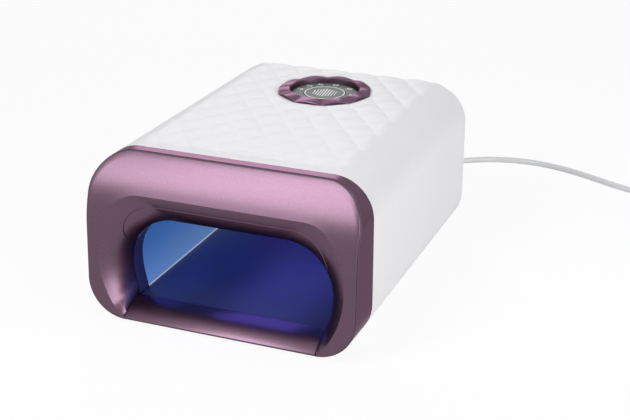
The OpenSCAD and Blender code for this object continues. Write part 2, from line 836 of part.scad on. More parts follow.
// Light beads: short posts with round tips that look through the ceiling sheet
module led_beads() {
    r = bead_d / 2;
    color("lavender") for (i = [0:bead_cols - 1], j = [0:bead_rows - 1])
        translate([bead_x(i), bead_y(j), z_roof])
            rotate_extrude() union() {
                translate([0, mouth_top + 0.6 - z_roof]) square([r, z_roof - mouth_top - 0.6]);
                intersection() {
                    translate([0, mouth_top + 0.6 - z_roof]) circle(r);
                    translate([0, mouth_top + 0.6 - r - z_roof]) square([r, r]);
                }
            }
}

module led_screws() {
    z = z_roof + led_board_t;
    color("silver") for (sx = [-1, 1], sy = [-1, 1]) {
        post(sx * led_screw_x, y_led + sy * led_screw_y, z, z + 1.5, 2.5);
        post(sx * led_screw_x, y_led + sy * led_screw_y, z_roof - chassis_t + 0.1, z + eps, 1.2);
    }
}

// Tray: floor and guide skirts, with a hollow ramp lip in front
module ramp_2d(t) {
    intersection() {
        translate([y_crest, z_crest - ramp_r]) circle(ramp_r - t);
        translate([y_front + t, z_lip - t]) square([ramp_l - t + eps, z_crest]);
    }
    translate([y_crest, z_lip - t]) square([y_shell - y_crest - t, z_crest - z_lip]);
}

module tray() {
    color("plum") difference() {
        union() {
            along_x(-tray_half, tray_half) ramp_2d(0);
            box(-tray_half, tray_half, y_crest, y_tray_end, z_tray_low, z_tray);
            for (sx = [0, 1]) mirror([sx, 0, 0])
                box(skirt_out - skirt_t, skirt_out, y_shell - 1, y_tray_end, z_skirt, z_tray);
            box(-skirt_out, skirt_out, y_tray_end - skirt_t, y_tray_end, z_skirt, z_tray);
        }
        along_x(-tray_half + 2.4, tray_half - 2.4) ramp_2d(2.2);
        box(-tray_half - 1, tray_half + 1, y_crest + 1, y_tray_end + 1, z_tray, z_crest + 1);
    }
}

module tray_liner() {
    color("midnightblue")
        box(-tray_half + 0.8, tray_half - 0.8, y_crest + 1.2, y_tray_end - 0.5, z_tray, z_tray + liner_t);
}

// Lobed ring: points round the rim, arched gem facets, and a collar with a ledge for the disc
ring_steps = 8;
function ring_wave(a) = abs(sin(ring_lobes / 2 * a));
function ring_rim(a) =
    let (s = 360 / ring_lobes, b = a - s * round(a / s)) ring_d / 2 * cos(s / 2) / cos(s / 2 - abs(b));
function ring_section(a) =
    let (w = ring_wave(a), rim = ring_rim(a), in = ring_in + 0.2)
    [
        [rim - 2.6, 0],
        [rim, ring_h * (0.5 - 0.05 * w)],
        [rim - 1.4 - 0.6 * w, ring_h * (0.58 + 0.22 * w)],
        [mix(ring_in, rim, 0.42), ring_h * (0.56 + 0.44 * w)],
        [in + 1.2, ring_h * (0.5 + 0.34 * w)],
        [in, 0.2],
        [in, z_ledge - z_top],
        [ring_in - 3, z_ledge - z_top],
        [ring_in - 3, z_ledge - z_top - 2],
        [in, z_ledge - z_top - 2.4],
        [in, z_ledge - z_top - 4.5],
        [collar_r, z_ledge - z_top - 4.5],
        [collar_r, 0]
    ];
module panel_ring() {
    rows = ring_lobes * ring_steps;
    n = len(ring_section(0));
    pts = [
        for (i = [0:rows - 1])
            let (a = 360 * i / rows)
            for (p = ring_section(a)) [p[0] * cos(a), p[0] * sin(a), p[1]]
    ];
    faces = [
        for (i = [0:rows - 1], j = [0:n - 1], k = [0, 1])
            let (
                a = i * n + j,
                b = i * n + (j + 1) % n,
                c = ((i + 1) % rows) * n + j,
                d = ((i + 1) % rows) * n + (j + 1) % n
            )
            k == 0 ? [a, b, d] : [a, d, c]
    ];
    color("plum") translate([0, y_panel, z_top]) polyhedron(pts, faces);
}

module panel_disc() {
    color("gray") difference() {
        post(0, y_panel, z_ledge, z_disc, ring_in - 0.1);
        post(0, y_panel, z_ledge - 1, z_disc + 1, button_r + button_gap);
    }
}

// Start button: a cap, a flange that stops it under the disc, and a stem over the switch
module start_button() {
    z_flange = z_ledge - 0.3;
    color("gray") {
        post(0, y_panel, z_flange - 1.5, z_disc + 0.1, button_r);
        post(0, y_panel, z_flange - 1.5, z_flange, button_r + 1.6);
        post(0, y_panel, z_switch + plunger_rise, z_flange - 1.5 + eps, 2.5);
    }
}

module switch_plunger() {
    color("dimgray") post(0, y_panel, z_switch - 1.2, z_switch + plunger_rise, plunger_r);
}

module switch_body() {
    color("black") difference() {
        box(-3, 3, y_panel - 3, y_panel + 3, z_board, z_switch);
        post(0, y_panel, z_switch - 1.2 - button_travel - 0.4, z_switch + 1, plunger_r + 0.2);
    }
}

panel_header = [board_x / 4, y_panel + board_y / 2 - header_w / 2 - 1];
module control_board() {
    color("seagreen") difference() {
        box(-board_x / 2, board_x / 2, y_panel - board_y / 2, y_panel + board_y / 2,
            z_board - board_t, z_board);
        for (sx = [-1, 1], sy = [-1, 1])
            post(sx * board_bx, y_panel + sy * board_by, z_board - 5, z_board + 1, 1.5);
    }
    color("ivory") translate([panel_header[0], panel_header[1], z_board - board_t - header_t + eps])
        linear_extrude(header_t) square(header_w, center = true);
}

// Indicator lights: slim guides from the board to the disc
module indicator_lights() {
    color("lavender") for (a = [0:60:300])
        translate([0, y_panel, 0]) rotate([0, 0, a + 30])
            post(label_r, 0, z_board, z_ledge - 0.2, 1.3);
}

module control_screws() {
    z = z_board - board_t;
    color("silver") for (sx = [-1, 1], sy = [-1, 1])
        screw_up(sx * board_bx, y_panel + sy * board_by, z, 2.6, 1.6, 1.2, 9);
}

// Power board: upright behind the tunnel, with two wire headers on its top edge
led_out = [-power_w / 4, y_parts + header_w / 2];
panel_out = [power_w / 4, y_parts + header_w / 2];
z_header = header_z - 2;
module power_board() {
    color("darkgreen") difference() {
        box(-power_w / 2, power_w / 2, y_power, y_parts, z_power, z_power + power_h);
        for (sx = [-1, 1], z = power_szs) rod_y(sx * power_sx, z, y_power - 1, y_parts + 1, 1.5);
    }
    color("ivory") for (x = [led_out[0], panel_out[0]])
        translate([x, y_parts + header_w / 2 - eps, z_header - header_t])
            linear_extrude(header_t) square(header_w, center = true);
}

// Transformer: a wound block with its bobbin standing out above
core_x = -10;
core_w = 28;
core_d = 16;
core_h = 22;
core_lift = 15;
bobbin_in = 3;
module transformer() {
    z = z_power + core_lift;
    x0 = core_x - core_w / 2;
    x1 = core_x + core_w / 2;
    color("khaki") box(x0, x1, y_parts, y_parts + core_d, z, z + core_h);
    color("black") box(x0 + bobbin_in, x1 - bobbin_in, y_parts + 2, y_parts + core_d - 2,
        z + core_h - eps, z + core_h + bobbin_in);
}

cap_xs = [14, 30];
cap_r = 5;
cap_l = 15;
cap_lift = 26;
module filter_capacitors() {
    color("black") for (x = cap_xs) rod_y(x, z_power + cap_lift, y_parts, y_parts + cap_l, cap_r);
}

block_w = 16;
block_d = 10;
block_h = 9;
block_lift = 2;
block_y = y_parts + block_d / 2;
module terminal_block() {
    color("limegreen") box(-block_w / 2, block_w / 2, y_parts, y_parts + block_d,
        z_power + block_lift, z_power + block_lift + block_h);
}

module power_screws() {
    color("silver") for (sx = [-1, 1], z = power_szs) {
        rod_y(sx * power_sx, z, y_parts, y_parts + 1.6, 2.6);
        rod_y(sx * power_sx, z, y_power - 5, y_parts + eps, 1.2);
    }
}

// Inner leads, each ending just short of the block or header that it plugs into
lead_gap = 0.3;
module led_lead() {
    a = [led_out[0], led_out[1], z_header + lead_gap];
    b = [led_header[0], led_header[1] + header_w / 2 + lead_gap, z_roof + led_board_t + header_t / 2];
    z_over = max(a[2] + 14, b[2] + 8);
    route = [
        a,
        a + [0, 0, 7],
        [a[0], a[1] - 1, mix(a[2] + 7, z_over, 0.6)],
        [a[0] + 1, a[1] - 6, z_over],
        [mix(a[0], b[0], 0.4), mix(a[1], b[1], 0.5), z_over + 1],
        [mix(a[0], b[0], 0.8), b[1] + 16, b[2] + 5],
        b + [0, 7, 0.2],
        b
    ];
    color("firebrick") tube(smooth(route, 3), 1.5, 8, [1, 0, 0]);
}

module panel_lead() {
    a = [panel_out[0], panel_out[1], z_header + lead_gap];
    b = [panel_header[0], panel_header[1], z_board - board_t - header_t - lead_gap];
    route = [
        a,
        a + [0, 0, 6],
        [a[0] - 1, mix(a[1], b[1], 0.2), mix(a[2] + 6, b[2] - 5, 0.3)],
        [mix(a[0], b[0], 0.6), mix(a[1], b[1], 0.7), mix(a[2] + 6, b[2] - 5, 0.7)],
        b + [0, 0, -5],
        b
    ];
    color("firebrick") tube(smooth(route, 3), 1.5, 8, [1, 0, 0]);
}

module inner_mains_lead() {
    a = [0, y_gland_in - lead_gap, z_gland];
    b = [0, block_y, z_power + block_lift - lead_gap];
    route = [
        a,
        a + [0, -3.5, 0],
        [0, mix(a[1], b[1], 0.72), mix(a[2], b[2], 0.18)],
        b + [0, 0, -3],
        b
    ];
    color("white") tube(smooth(route, 3), 1.8, 8, [1, 0, 0]);
}

// Cord gland: flanges either side of the rear panel and a tapered sleeve
module cord_gland() {
    color("white") translate([0, y_panel_in, z_gland]) rotate([-90, 0, 0]) rotate_extrude()
        polygon([
            [0, y_gland_in - y_panel_in],
            [gland_r, y_gland_in - y_panel_in],
            [gland_r + 2, y_gland_in - y_panel_in + 1.5],
            [gland_r + 2, 0],
            [gland_r, 0],
            [gland_r, rear_t],
            [gland_r + 2, rear_t],
            [gland_r + 2, rear_t + 2],
            [gland_r - 0.5, rear_t + 3],
            [cord_r + 0.9, y_gland_out - y_panel_in],
            [0, y_gland_out - y_panel_in]
        ]);
}

module cord_lead() {
    color("white") tube(smooth(lead_route, 2), cord_r, 10, [0, 0, 1]);
}

// Coil: one tube that spirals in on the lower layer and out again on the upper one
coil_rings = 24;
coil_count = round(coil_turns * coil_rings);
function coil_layer(s) =
    let (t = min(1, max(0, (s - coil_turns / 2 + 0.25) / 0.5))) t * t * (3 - 2 * t);
function coil_point(s) =
    let (a = coil_start - 360 * s, r = coil_out - coil_step * min(s, coil_turns - s))
    [coil_x + r * cos(a), coil_y + r * sin(a), coil_z + coil_rise * coil_layer(s)];
coil_path = concat(
    [coil_first],
    [for (i = [0:coil_count]) coil_point(coil_turns * i / coil_count)],
    [
        [plug_x, plug_y + coil_tail * 0.75, coil_z + coil_rise - 0.1],
        [plug_x, plug_y + coil_tail * 0.5, mix(coil_z + coil_rise, plug_z, 0.4)],
        [plug_x, plug_y + cord_d + 1, mix(coil_z + coil_rise, plug_z, 1)],
        [plug_x, plug_y, plug_z]
    ]
);
coil_least = min([
    for (i = [0:len(coil_path) - 1], j = [i + 8:1:len(coil_path) - 1]) norm(coil_path[i] - coil_path[j])
]) - cord_d;
module cord_coil() {
    echo(coil_least_gap = coil_least);
    color("white") tube(coil_path, cord_r, 6, [0, 0, 1]);
}

// Tie: a thin strap round the bundle of turns
tie_t = 0.4;
module cord_tie() {
    x0 = coil_x - coil_out + 0.5 * coil_step - cord_r - 0.8;
    x1 = coil_x - coil_out + 2.7 * coil_step + cord_r + 1;
    z1 = coil_z + coil_rise + cord_r + 0.3;
    color("black") difference() {
        box(x0 - tie_t, x1 + tie_t, coil_y - 4, coil_y + 4, 0.05, z1 + tie_t);
        box(x0, x1, coil_y - 5, coil_y + 5, 0.05 + tie_t, z1);
    }
}

// Plug: moulded body with a tapered neck, and two round pins
plug_l = 36;
neck_l = 24;
pin_gap = 18.6;
pin_l = 19;
module plug_body() {
    color("white") {
        translate([plug_x, plug_y, plug_z]) rotate([90, 0, 0])
            cylinder(h = neck_l, r1 = cord_r + 0.9, r2 = 6);
        translate([plug_x, plug_y - neck_l + eps, 0.2]) linear_extrude(2 * plug_z - 0.4)
            polygon([
                [-7, 0], [-13, -9], [-15.5, -27], [-14, -plug_l],
                [14, -plug_l], [15.5, -27], [13, -9], [7, 0]
            ]);
    }
}

module plug_pins() {
    y1 = plug_y - neck_l + eps - plug_l;
    color("silver") for (sx = [-1, 1]) rod_y(plug_x + sx * pin_gap / 2, plug_z, y1 - pin_l, y1, pin_d / 2);
}

outer_shell();
rear_panel();
base_frame();
rubber_feet();
base_screws();
rear_screws();
bezel_band();
front_bezel();
mouth_visor();
tunnel_chassis();
left_reflector();
right_reflector();
ceiling_reflector();
rear_reflector();
led_board();
led_beads();
led_screws();
tray();
tray_liner();
panel_ring();
panel_disc();
start_button();
switch_plunger();
switch_body();
control_board();
indicator_lights();
control_screws();
power_board();
transformer();
filter_capacitors();
terminal_block();
power_screws();
led_lead();
panel_lead();
inner_mains_lead();
cord_gland();
cord_lead();
cord_coil();
cord_tie();
plug_body();
plug_pins();
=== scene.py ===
import math

import bmesh
import bpy
from mathutils import Matrix, Quaternion, Vector


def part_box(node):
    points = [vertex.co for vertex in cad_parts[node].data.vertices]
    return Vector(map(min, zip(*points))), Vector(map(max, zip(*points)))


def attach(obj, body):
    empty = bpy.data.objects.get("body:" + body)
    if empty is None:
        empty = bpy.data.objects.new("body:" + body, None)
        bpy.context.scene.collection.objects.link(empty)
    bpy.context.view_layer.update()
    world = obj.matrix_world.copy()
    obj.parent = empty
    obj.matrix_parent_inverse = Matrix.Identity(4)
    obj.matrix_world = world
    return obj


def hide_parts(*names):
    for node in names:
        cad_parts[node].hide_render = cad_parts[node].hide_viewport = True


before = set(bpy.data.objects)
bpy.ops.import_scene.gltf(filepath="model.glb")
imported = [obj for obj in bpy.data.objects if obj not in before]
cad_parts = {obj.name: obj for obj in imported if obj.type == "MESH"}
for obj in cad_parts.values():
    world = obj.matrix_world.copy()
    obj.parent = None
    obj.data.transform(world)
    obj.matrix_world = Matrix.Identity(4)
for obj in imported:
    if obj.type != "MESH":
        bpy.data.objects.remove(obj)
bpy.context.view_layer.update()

# Photo table: one wide sheet of matt white paper that the lamp stands on, under an even
# white sky. The paper runs past every edge of the view and keeps a faint shadow.
MM = 0.001
paper_half = 4.0
paper_drop = 0.1 * MM
paper_white = "#FBFBFB"
paper_glow = 0.92
sky_white = 0.9
sky_on_matt = 0.04


def hex_linear(code):
    """Linear colour with full alpha from an sRGB hex code such as #E6E5E9."""
    channels = [int(code[i:i + 2], 16) / 255 for i in (1, 3, 5)]
    linear = [c / 12.92 if c <= 0.04045 else ((c + 0.055) / 1.055) ** 2.4 for c in channels]
    return (*linear, 1.0)


def set_inputs(tree, node, inputs):
    """Sets each named input of a shader node to a value, or links it to another node's output."""
    for socket, value in inputs.items():
        if isinstance(value, bpy.types.NodeSocket):
            tree.links.new(value, node.inputs[socket])
        else:
            node.inputs[socket].default_value = value


def add_node(tree, kind, inputs=None, **settings):
    """Adds a shader node with its settings and its inputs."""
    node = tree.nodes.new(kind)
    for name, value in settings.items():
        setattr(node, name, value)
    set_inputs(tree, node, inputs or {})
    return node


def seen_directly(tree):
    """One where a ray comes from the camera, a gloss or a clear piece, and nought elsewhere."""
    path = add_node(tree, "ShaderNodeLightPath")
    mirrored = add_node(tree, "ShaderNodeMath", {
        0: path.outputs["Is Camera Ray"],
        1: path.outputs["Is Glossy Ray"],
    }, operation="ADD")
    return add_node(tree, "ShaderNodeMath", {
        0: mirrored.outputs[0],
        1: path.outputs["Is Transmission Ray"],
    }, operation="ADD", use_clamp=True).outputs[0]


paper = bpy.data.materials.new("white paper, matt")
paper.use_nodes = True
tree = paper.node_tree
shader = tree.nodes["Principled BSDF"]
set_inputs(tree, shader, {
    "Base Color": hex_linear(paper_white),
    "Roughness": 1.0,
    "Specular IOR Level": 0.0,
})
glow = add_node(tree, "ShaderNodeEmission", {"Color": hex_linear("#FFFFFF"), "Strength": 1.0})
share = add_node(tree, "ShaderNodeMath", {0: seen_directly(tree), 1: paper_glow}, operation="MULTIPLY")
lit_paper = add_node(tree, "ShaderNodeMixShader", {
    0: share.outputs[0],
    1: shader.outputs["BSDF"],
    2: glow.outputs["Emission"],
})
set_inputs(tree, tree.nodes["Material Output"], {"Surface": lit_paper.outputs[0]})

bm = bmesh.new()
bmesh.ops.create_grid(bm, x_segments=1, y_segments=1, size=paper_half)
bmesh.ops.translate(bm, verts=bm.verts, vec=(0, 0, -paper_drop))
table_mesh = bpy.data.meshes.new("table_paper")
bm.to_mesh(table_mesh)
bm.free()
table_mesh.materials.append(paper)
table = bpy.data.objects.new("table_paper", table_mesh)
bpy.context.scene.collection.objects.link(table)

sky = bpy.data.worlds.new("white sky")
sky.use_nodes = True
tree = sky.node_tree
strength = add_node(tree, "ShaderNodeMapRange", {
    "Value": seen_directly(tree),
    "To Min": sky_on_matt,
    "To Max": sky_white,
})
set_inputs(tree, tree.nodes["Background"], {
    "Color": hex_linear("#FFFFFF"),
    "Strength": strength.outputs["Result"],
})
bpy.context.scene.world = sky

# Four softboxes: a tall one above the front left, which the curved upper front mirrors, one at the
# right for the sleeve's side and the left flank of the mouth, one above the right rear for the
# sleeve's corner, and one behind for the top edge of the collar and the facets of the panel ring.
lamp_middle = Vector((0, 0, 60 * MM))
softboxes = [
    ("softbox_front", Vector((-0.46, -0.97, 1.12)), 0.66, 1.20, 6.3),
    ("softbox_right", Vector((1.35, -0.56, 0.55)), 0.72, 1.12, 5.0),
    ("softbox_top", Vector((0.66, 0.32, 1.14)), 0.50, 0.29, 6.0),
    ("softbox_rear", Vector((-0.66, 1.38, 0.83)), 0.74, 0.46, 5.5),
]
for name, place, width, height, radiance in softboxes:
    light = bpy.data.lights.new(name, "AREA")
    light.shape = "RECTANGLE"
    light.size = width
    light.size_y = height
    light.energy = radiance * math.pi * width * height
    box = bpy.data.objects.new(name, light)
    box.location = place
    box.rotation_mode = "QUATERNION"
    box.rotation_quaternion = (lamp_middle - place).to_track_quat("-Z", "Y")
    bpy.context.scene.collection.objects.link(box)
bpy.context.scene.view_settings.view_transform = "Standard"

# Camera: a long lens in front of the lamp's right corner, looking down on the panel. Its place,
# its angles and its lens were fitted to the outlines of the real lamp.
camera_place = Vector((0.37689, -0.87853, 0.44277))
camera_yaw = math.radians(22.0317)
camera_pitch = math.radians(22.4141)
camera_roll = math.radians(0.1755)
camera_lens = 79.065
camera_sensor = 36.0
look_back = Vector((
    math.sin(camera_yaw) * math.cos(camera_pitch),
    -math.cos(camera_yaw) * math.cos(camera_pitch),
    math.sin(camera_pitch),
))
camera = bpy.data.objects.new("camera", bpy.data.cameras.new("camera"))
camera.data.sensor_width = camera_sensor
camera.data.lens = camera_lens
camera.location = camera_place
camera.rotation_mode = "QUATERNION"
camera.rotation_quaternion = (-look_back).to_track_quat("-Z", "Y") @ Quaternion((0, 0, 1), camera_roll)
bpy.context.scene.collection.objects.link(camera)
bpy.context.scene.camera = camera

# Base frame: the two rails that the tray runs on, joined by a plate under the rear bay.
# Moulded in pale grey polypropylene and screwed up into the tunnel chassis.
frame_edge = 0.4
weld = 0.002 * MM
flat_angle = math.radians(0.5)
grit_gloss = 0.06


def start_material(name):
    """New material with its node tree, its shader and its object coordinates."""
    material = bpy.data.materials.new(name)
    material.use_nodes = True
    tree = material.node_tree
    coordinates = add_node(tree, "ShaderNodeTexCoord").outputs["Object"]
    return material, tree, tree.nodes["Principled BSDF"], coordinates


def moulded_plastic(name, pale, dark, roughness, grain, depth, cloud=30.0, specular=0.5):
    """Plastic from a spark-eroded mould: a fine even grain in the gloss over a faint cloudy
    drift of colour. Grain, depth and cloud are in millimetres."""
    material, tree, shader, coordinates = start_material(name)
    drift = add_node(tree, "ShaderNodeTexNoise", {
        "Vector": coordinates,
        "Scale": 1 / (cloud * MM),
        "Detail": 2.0,
    })
    colour = add_node(tree, "ShaderNodeMix", {
        "Factor": drift.outputs["Fac"],
        "A": hex_linear(dark),
        "B": hex_linear(pale),
    }, data_type="RGBA")
    grit = add_node(tree, "ShaderNodeTexNoise", {
        "Vector": coordinates,
        "Scale": 1 / (grain * MM),
        "Detail": 3.0,
    })
    gloss = add_node(tree, "ShaderNodeMapRange", {
        "Value": grit.outputs["Fac"],
        "To Min": roughness - grit_gloss,
        "To Max": roughness + grit_gloss,
    })
    relief = add_node(tree, "ShaderNodeBump", {
        "Height": grit.outputs["Fac"],
        "Strength": 1.0,
        "Distance": depth * MM,
    })
    set_inputs(tree, shader, {
        "Base Color": colour.outputs["Result"],
        "Roughness": gloss.outputs["Result"],
        "Normal": relief.outputs["Normal"],
        "Specular IOR Level": specular,
    })
    return material


def round_edges(bm, edges, width, segments=2):
    """Rounds off these edges of a shape, over a width in millimetres."""
    bmesh.ops.bevel(bm, geom=edges, offset=width * MM, affect="EDGES", segments=segments,
                    profile=0.5, material=-1, clamp_overlap=True)


def softened(node, width, sharp=28.0):
    """Copy of a CAD node's mesh, merged into whole faces, with its sharp edges rounded off."""
    bm = bmesh.new()
    bm.from_mesh(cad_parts[node].data)
    bmesh.ops.remove_doubles(bm, verts=bm.verts, dist=weld)
    bmesh.ops.dissolve_limit(bm, angle_limit=flat_angle, verts=bm.verts, edges=bm.edges)
    round_edges(bm, [edge for edge in bm.edges if edge.calc_face_angle(0) > math.radians(sharp)], width)
    return bm


def make_piece(name, bm, materials, body, stands_for=(), crease=32.0):
    """Turns a bmesh into a named piece that rides on a body and stands for its CAD nodes."""
    mesh = bpy.data.meshes.new(name)
    bm.to_mesh(mesh)
    bm.free()
    for material in materials:
        mesh.materials.append(material)
    mesh.shade_smooth()
    mesh.set_sharp_from_angle(angle=math.radians(crease))
    piece = bpy.data.objects.new(name, mesh)
    bpy.context.scene.collection.objects.link(piece)
    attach(piece, body)
    if stands_for:
        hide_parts(*stands_for)
    return piece


# Pale grey polypropylene, moulded: a waxy, slightly cloudy surface with a soft wide gloss.
# The grain is really 0.2 mm, and is drawn at 0.5 mm so that it shows.
grey_plastic = moulded_plastic("polypropylene, moulded pale grey", "#D3D4D6", "#CACBCE",
                               roughness=0.48, grain=0.5, depth=0.012)
make_piece("tray_rails", softened("base_frame", frame_edge), [grey_plastic], "housing",
           ["base_frame"])

# Feet: four soft rubber buttons pressed into blind holes in the rails, with a rounded rim
# and a shallow hollow underneath, as moulded feet have.
foot_radius = 4.5
foot_height = 2.5
foot_round = 0.9
foot_ring = 1.6
foot_slope = 0.6
foot_hollow = 0.25


def turned(profile, steps=48, closed=False):
    """Round solid from pairs of radius and height in millimetres, turned about Z."""
    bm = bmesh.new()
    verts = [bm.verts.new((radius * MM, 0, height * MM)) for radius, height in profile]
    ends = verts[1:] + verts[:1] if closed else verts[1:]
    edges = [bm.edges.new(pair) for pair in zip(verts, ends)]
    bmesh.ops.spin(bm, geom=verts + edges, cent=(0, 0, 0), axis=(0, 0, 1), angle=2 * math.pi,
                   steps=steps, use_merge=True)
    bmesh.ops.remove_doubles(bm, verts=bm.verts, dist=weld)
    bmesh.ops.recalc_face_normals(bm, faces=bm.faces)
    return bm


def arc(radius, height, size, start, end, steps=5):
    """Points of a round, about a middle at this radius and height, from one angle to another."""
    angles = [math.radians(start + (end - start) * i / steps) for i in range(steps + 1)]
    return [(radius + size * math.cos(a), height + size * math.sin(a)) for a in angles]


def add_copy(target, part, matrix):
    """Adds a copy of one shape to another, moved by a matrix."""
    mesh = bpy.data.meshes.new("copy")
    part.to_mesh(mesh)
    mesh.transform(matrix)
    target.from_mesh(mesh)
    bpy.data.meshes.remove(mesh)


# Foot rubber, moulded: near black and dull, with a fine dusty bloom that greys it in patches.
foot_rubber = moulded_plastic("rubber, moulded dark grey", "#3B3B3D", "#2C2C2E",
                              roughness=0.74, grain=0.6, depth=0.02, cloud=3.0)
hollow_r = foot_radius - foot_ring - foot_slope
foot = turned(
    [(0, foot_hollow), (hollow_r, foot_hollow), (hollow_r + foot_slope, 0)]
    + arc(foot_radius - foot_round, foot_round, foot_round, -90, 0)
    + [(foot_radius, foot_height), (0, foot_height)]
)
low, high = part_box("rubber_feet")
bm = bmesh.new()
for x in (low.x + foot_radius * MM, high.x - foot_radius * MM):
    for y in (low.y + foot_radius * MM, high.y - foot_radius * MM):
        add_copy(bm, foot, Matrix.Translation((x, y, low.z)))
foot.free()
make_piece("foot_buttons", bm, [foot_rubber], "housing", ["rubber_feet"])

# Tunnel chassis: the pale arch over the hand space. It carries the light board on its roof,
# the power board on its rear wall and the bright sheets inside. Moulded in polycarbonate.


def dress(node, material):
    """Gives a CAD node its finish in every one of its material slots."""
    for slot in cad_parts[node].material_slots:
        slot.material = material


# Light grey polycarbonate, moulded: harder and glossier than the rails, and almost even in colour.
chassis_plastic = moulded_plastic("polycarbonate, moulded light grey", "#C6C8CC", "#BDBFC4",
                                  roughness=0.4, grain=0.6, depth=0.01)
dress("tunnel_chassis", chassis_plastic)

# Reflectors: four thin sheets of anodised aluminium clipped inside the arch. The blue light that
# they throw from the beads round the hand is painted on them as a glow: strong on the roof between the
# beads, soft on the sides, with a painted highlight as a pale line along the bent foot of each side sheet.
sheet_foot = 11.8
sheet_top = 72.5
sheet_edge = 0.1
sheet_sharp = 40.0
rolled_grain = 0.8
rolled_stretch = 0.02


def painted_glow_sheet(name, metal, painted_glows, strength):
    """Anodised aluminium sheet with a rolled grain along Y, and a painted glow for the blue light that it
    throws, given as pairs of share of the height and colour, from the foot of the tunnel to its roof."""
    material, tree, shader, coordinates = start_material(name)
    rolled = add_node(tree, "ShaderNodeMapping", {"Vector": coordinates, "Scale": (1, rolled_stretch, 1)})
    grain = add_node(tree, "ShaderNodeTexNoise", {
        "Vector": rolled.outputs["Vector"],
        "Scale": 1 / (rolled_grain * MM),
        "Detail": 2.0,
    })
    gloss = add_node(tree, "ShaderNodeMapRange", {
        "Value": grain.outputs["Fac"],
        "To Min": 0.24,
        "To Max": 0.36,
    })
    axes = add_node(tree, "ShaderNodeSeparateXYZ", {0: coordinates})
    rise = add_node(tree, "ShaderNodeMapRange", {
        "Value": axes.outputs["Z"],
        "From Min": sheet_foot * MM,
        "From Max": sheet_top * MM,
    })
    glow = add_node(tree, "ShaderNodeValToRGB", {"Fac": rise.outputs["Result"]})
    ramp = glow.color_ramp.elements
    while len(ramp) < len(painted_glows):
        ramp.new(1.0)
    for stop, (share, colour) in zip(ramp, painted_glows):
        stop.position = share
        stop.color = hex_linear(colour)
    set_inputs(tree, shader, {
        "Base Color": hex_linear(metal),
        "Metallic": 1.0,
        "Roughness": gloss.outputs["Result"],
        # The emission is a painted glow standing in for the beads' blue light on the sheet.
        "Emission Color": glow.outputs["Color"],
        "Emission Strength": strength,
    })
    return material


# Anodised aluminium: a satin metal under a painted blue glow from the beads. The sides carry a painted
# highlight that pales towards their foot, the rear a dim violet painted shade, and the roof an even painted
# glow.
side_painted_glow = [(0.0, "#DCE8F6"), (0.013, "#BCD2EA"), (0.022, "#6E97C6"), (0.45, "#4A7CBE"), (1.0, "#3764AC")]
rear_painted_glow = [(0.0, "#423A6C"), (1.0, "#7A6A9C")]
roof_painted_glow = [(0.0, "#5C62CC"), (1.0, "#5C62CC")]
side_sheet = painted_glow_sheet("aluminium sheet, anodised satin, painted blue glow", "#5C7FB4", side_painted_glow, 0.55)
rear_sheet = painted_glow_sheet("aluminium sheet, anodised, painted violet shade", "#46507E", rear_painted_glow, 1.0)
roof_sheet = painted_glow_sheet("aluminium sheet, anodised, painted glow of the beads", "#7A94C8", roof_painted_glow, 4.0)
for side, sheet in (("left", side_sheet), ("right", side_sheet), ("rear", rear_sheet)):
    node = side + "_reflector"
    make_piece(side + "_painted_glow_sheet", softened(node, sheet_edge, sheet_sharp), [sheet], "housing",
               [node])
dress("ceiling_reflector", roof_sheet)

# Light board: a green circuit board on the chassis roof, with 24 lens-capped light beads that
# reach down through the roof sheet.
board_pitch = 2.54
track_step = 4 * board_pitch
track_rise = 0.03


def circuit_board(name, mask, trace):
    """Glass-fibre circuit board under solder mask: a gloss green ground with the paler lines of
    its copper tracks, on the 2.54 mm pitch of their pads."""
    material, tree, shader, coordinates = start_material(name)
    tracks = add_node(tree, "ShaderNodeTexBrick", {
        "Vector": coordinates,
        "Scale": 1 / (track_step * MM),
        "Mortar Size": 0.04,
        "Color1": hex_linear(mask),
        "Color2": hex_linear(mask),
        "Mortar": hex_linear(trace),
    })
    step = add_node(tree, "ShaderNodeBump", {"Height": tracks.outputs["Fac"], "Distance": track_rise * MM})
    set_inputs(tree, shader, {
        "Base Color": tracks.outputs["Color"],
        "Roughness": 0.32,
        "Normal": step.outputs["Normal"],
    })
    return material


light_board = circuit_board("circuit board, green solder mask", "#1F6B45", "#3E8E63")
dress("led_board", light_board)

# Bead lens, cast epoxy: clear and smooth, lit from inside in blue violet, paler at the crown.
bead_lens, tree, shader, coordinates = start_material("epoxy lens, cast clear")
crown = add_node(tree, "ShaderNodeTexNoise", {"Vector": coordinates, "Scale": 1 / (2 * MM)})
glow = add_node(tree, "ShaderNodeMix", {
    "Factor": crown.outputs["Fac"],
    "A": hex_linear("#7C86F0"),
    "B": hex_linear("#B9C0FF"),
}, data_type="RGBA")
set_inputs(tree, shader, {
    "Base Color": hex_linear("#CFD3F2"),
    "Roughness": 0.12,
    "Emission Color": glow.outputs["Result"],
    "Emission Strength": 1.6,
})
dress("led_beads", bead_lens)

# Screws: zinc-plated steel with pan heads and a cross recess. Two rows of three hold the base,
# and the boards and the rear panel have four each.
zinc_grain = 0.4
crown_share = 0.86
crown_fall = 0.12
cross_arm = 0.7
cross_wide = 0.2
cross_deep = 0.55
first_twist = 25
next_twist = 47


def raise_faces(bm, faces, rise):
    """Draws faces out of a shape along Z, by a height in millimetres."""
    grown = bmesh.ops.extrude_face_region(bm, geom=faces)["geom"]
    bmesh.ops.translate(bm, verts=[item for item in grown if isinstance(item, bmesh.types.BMVert)],
                        vec=(0, 0, rise * MM))


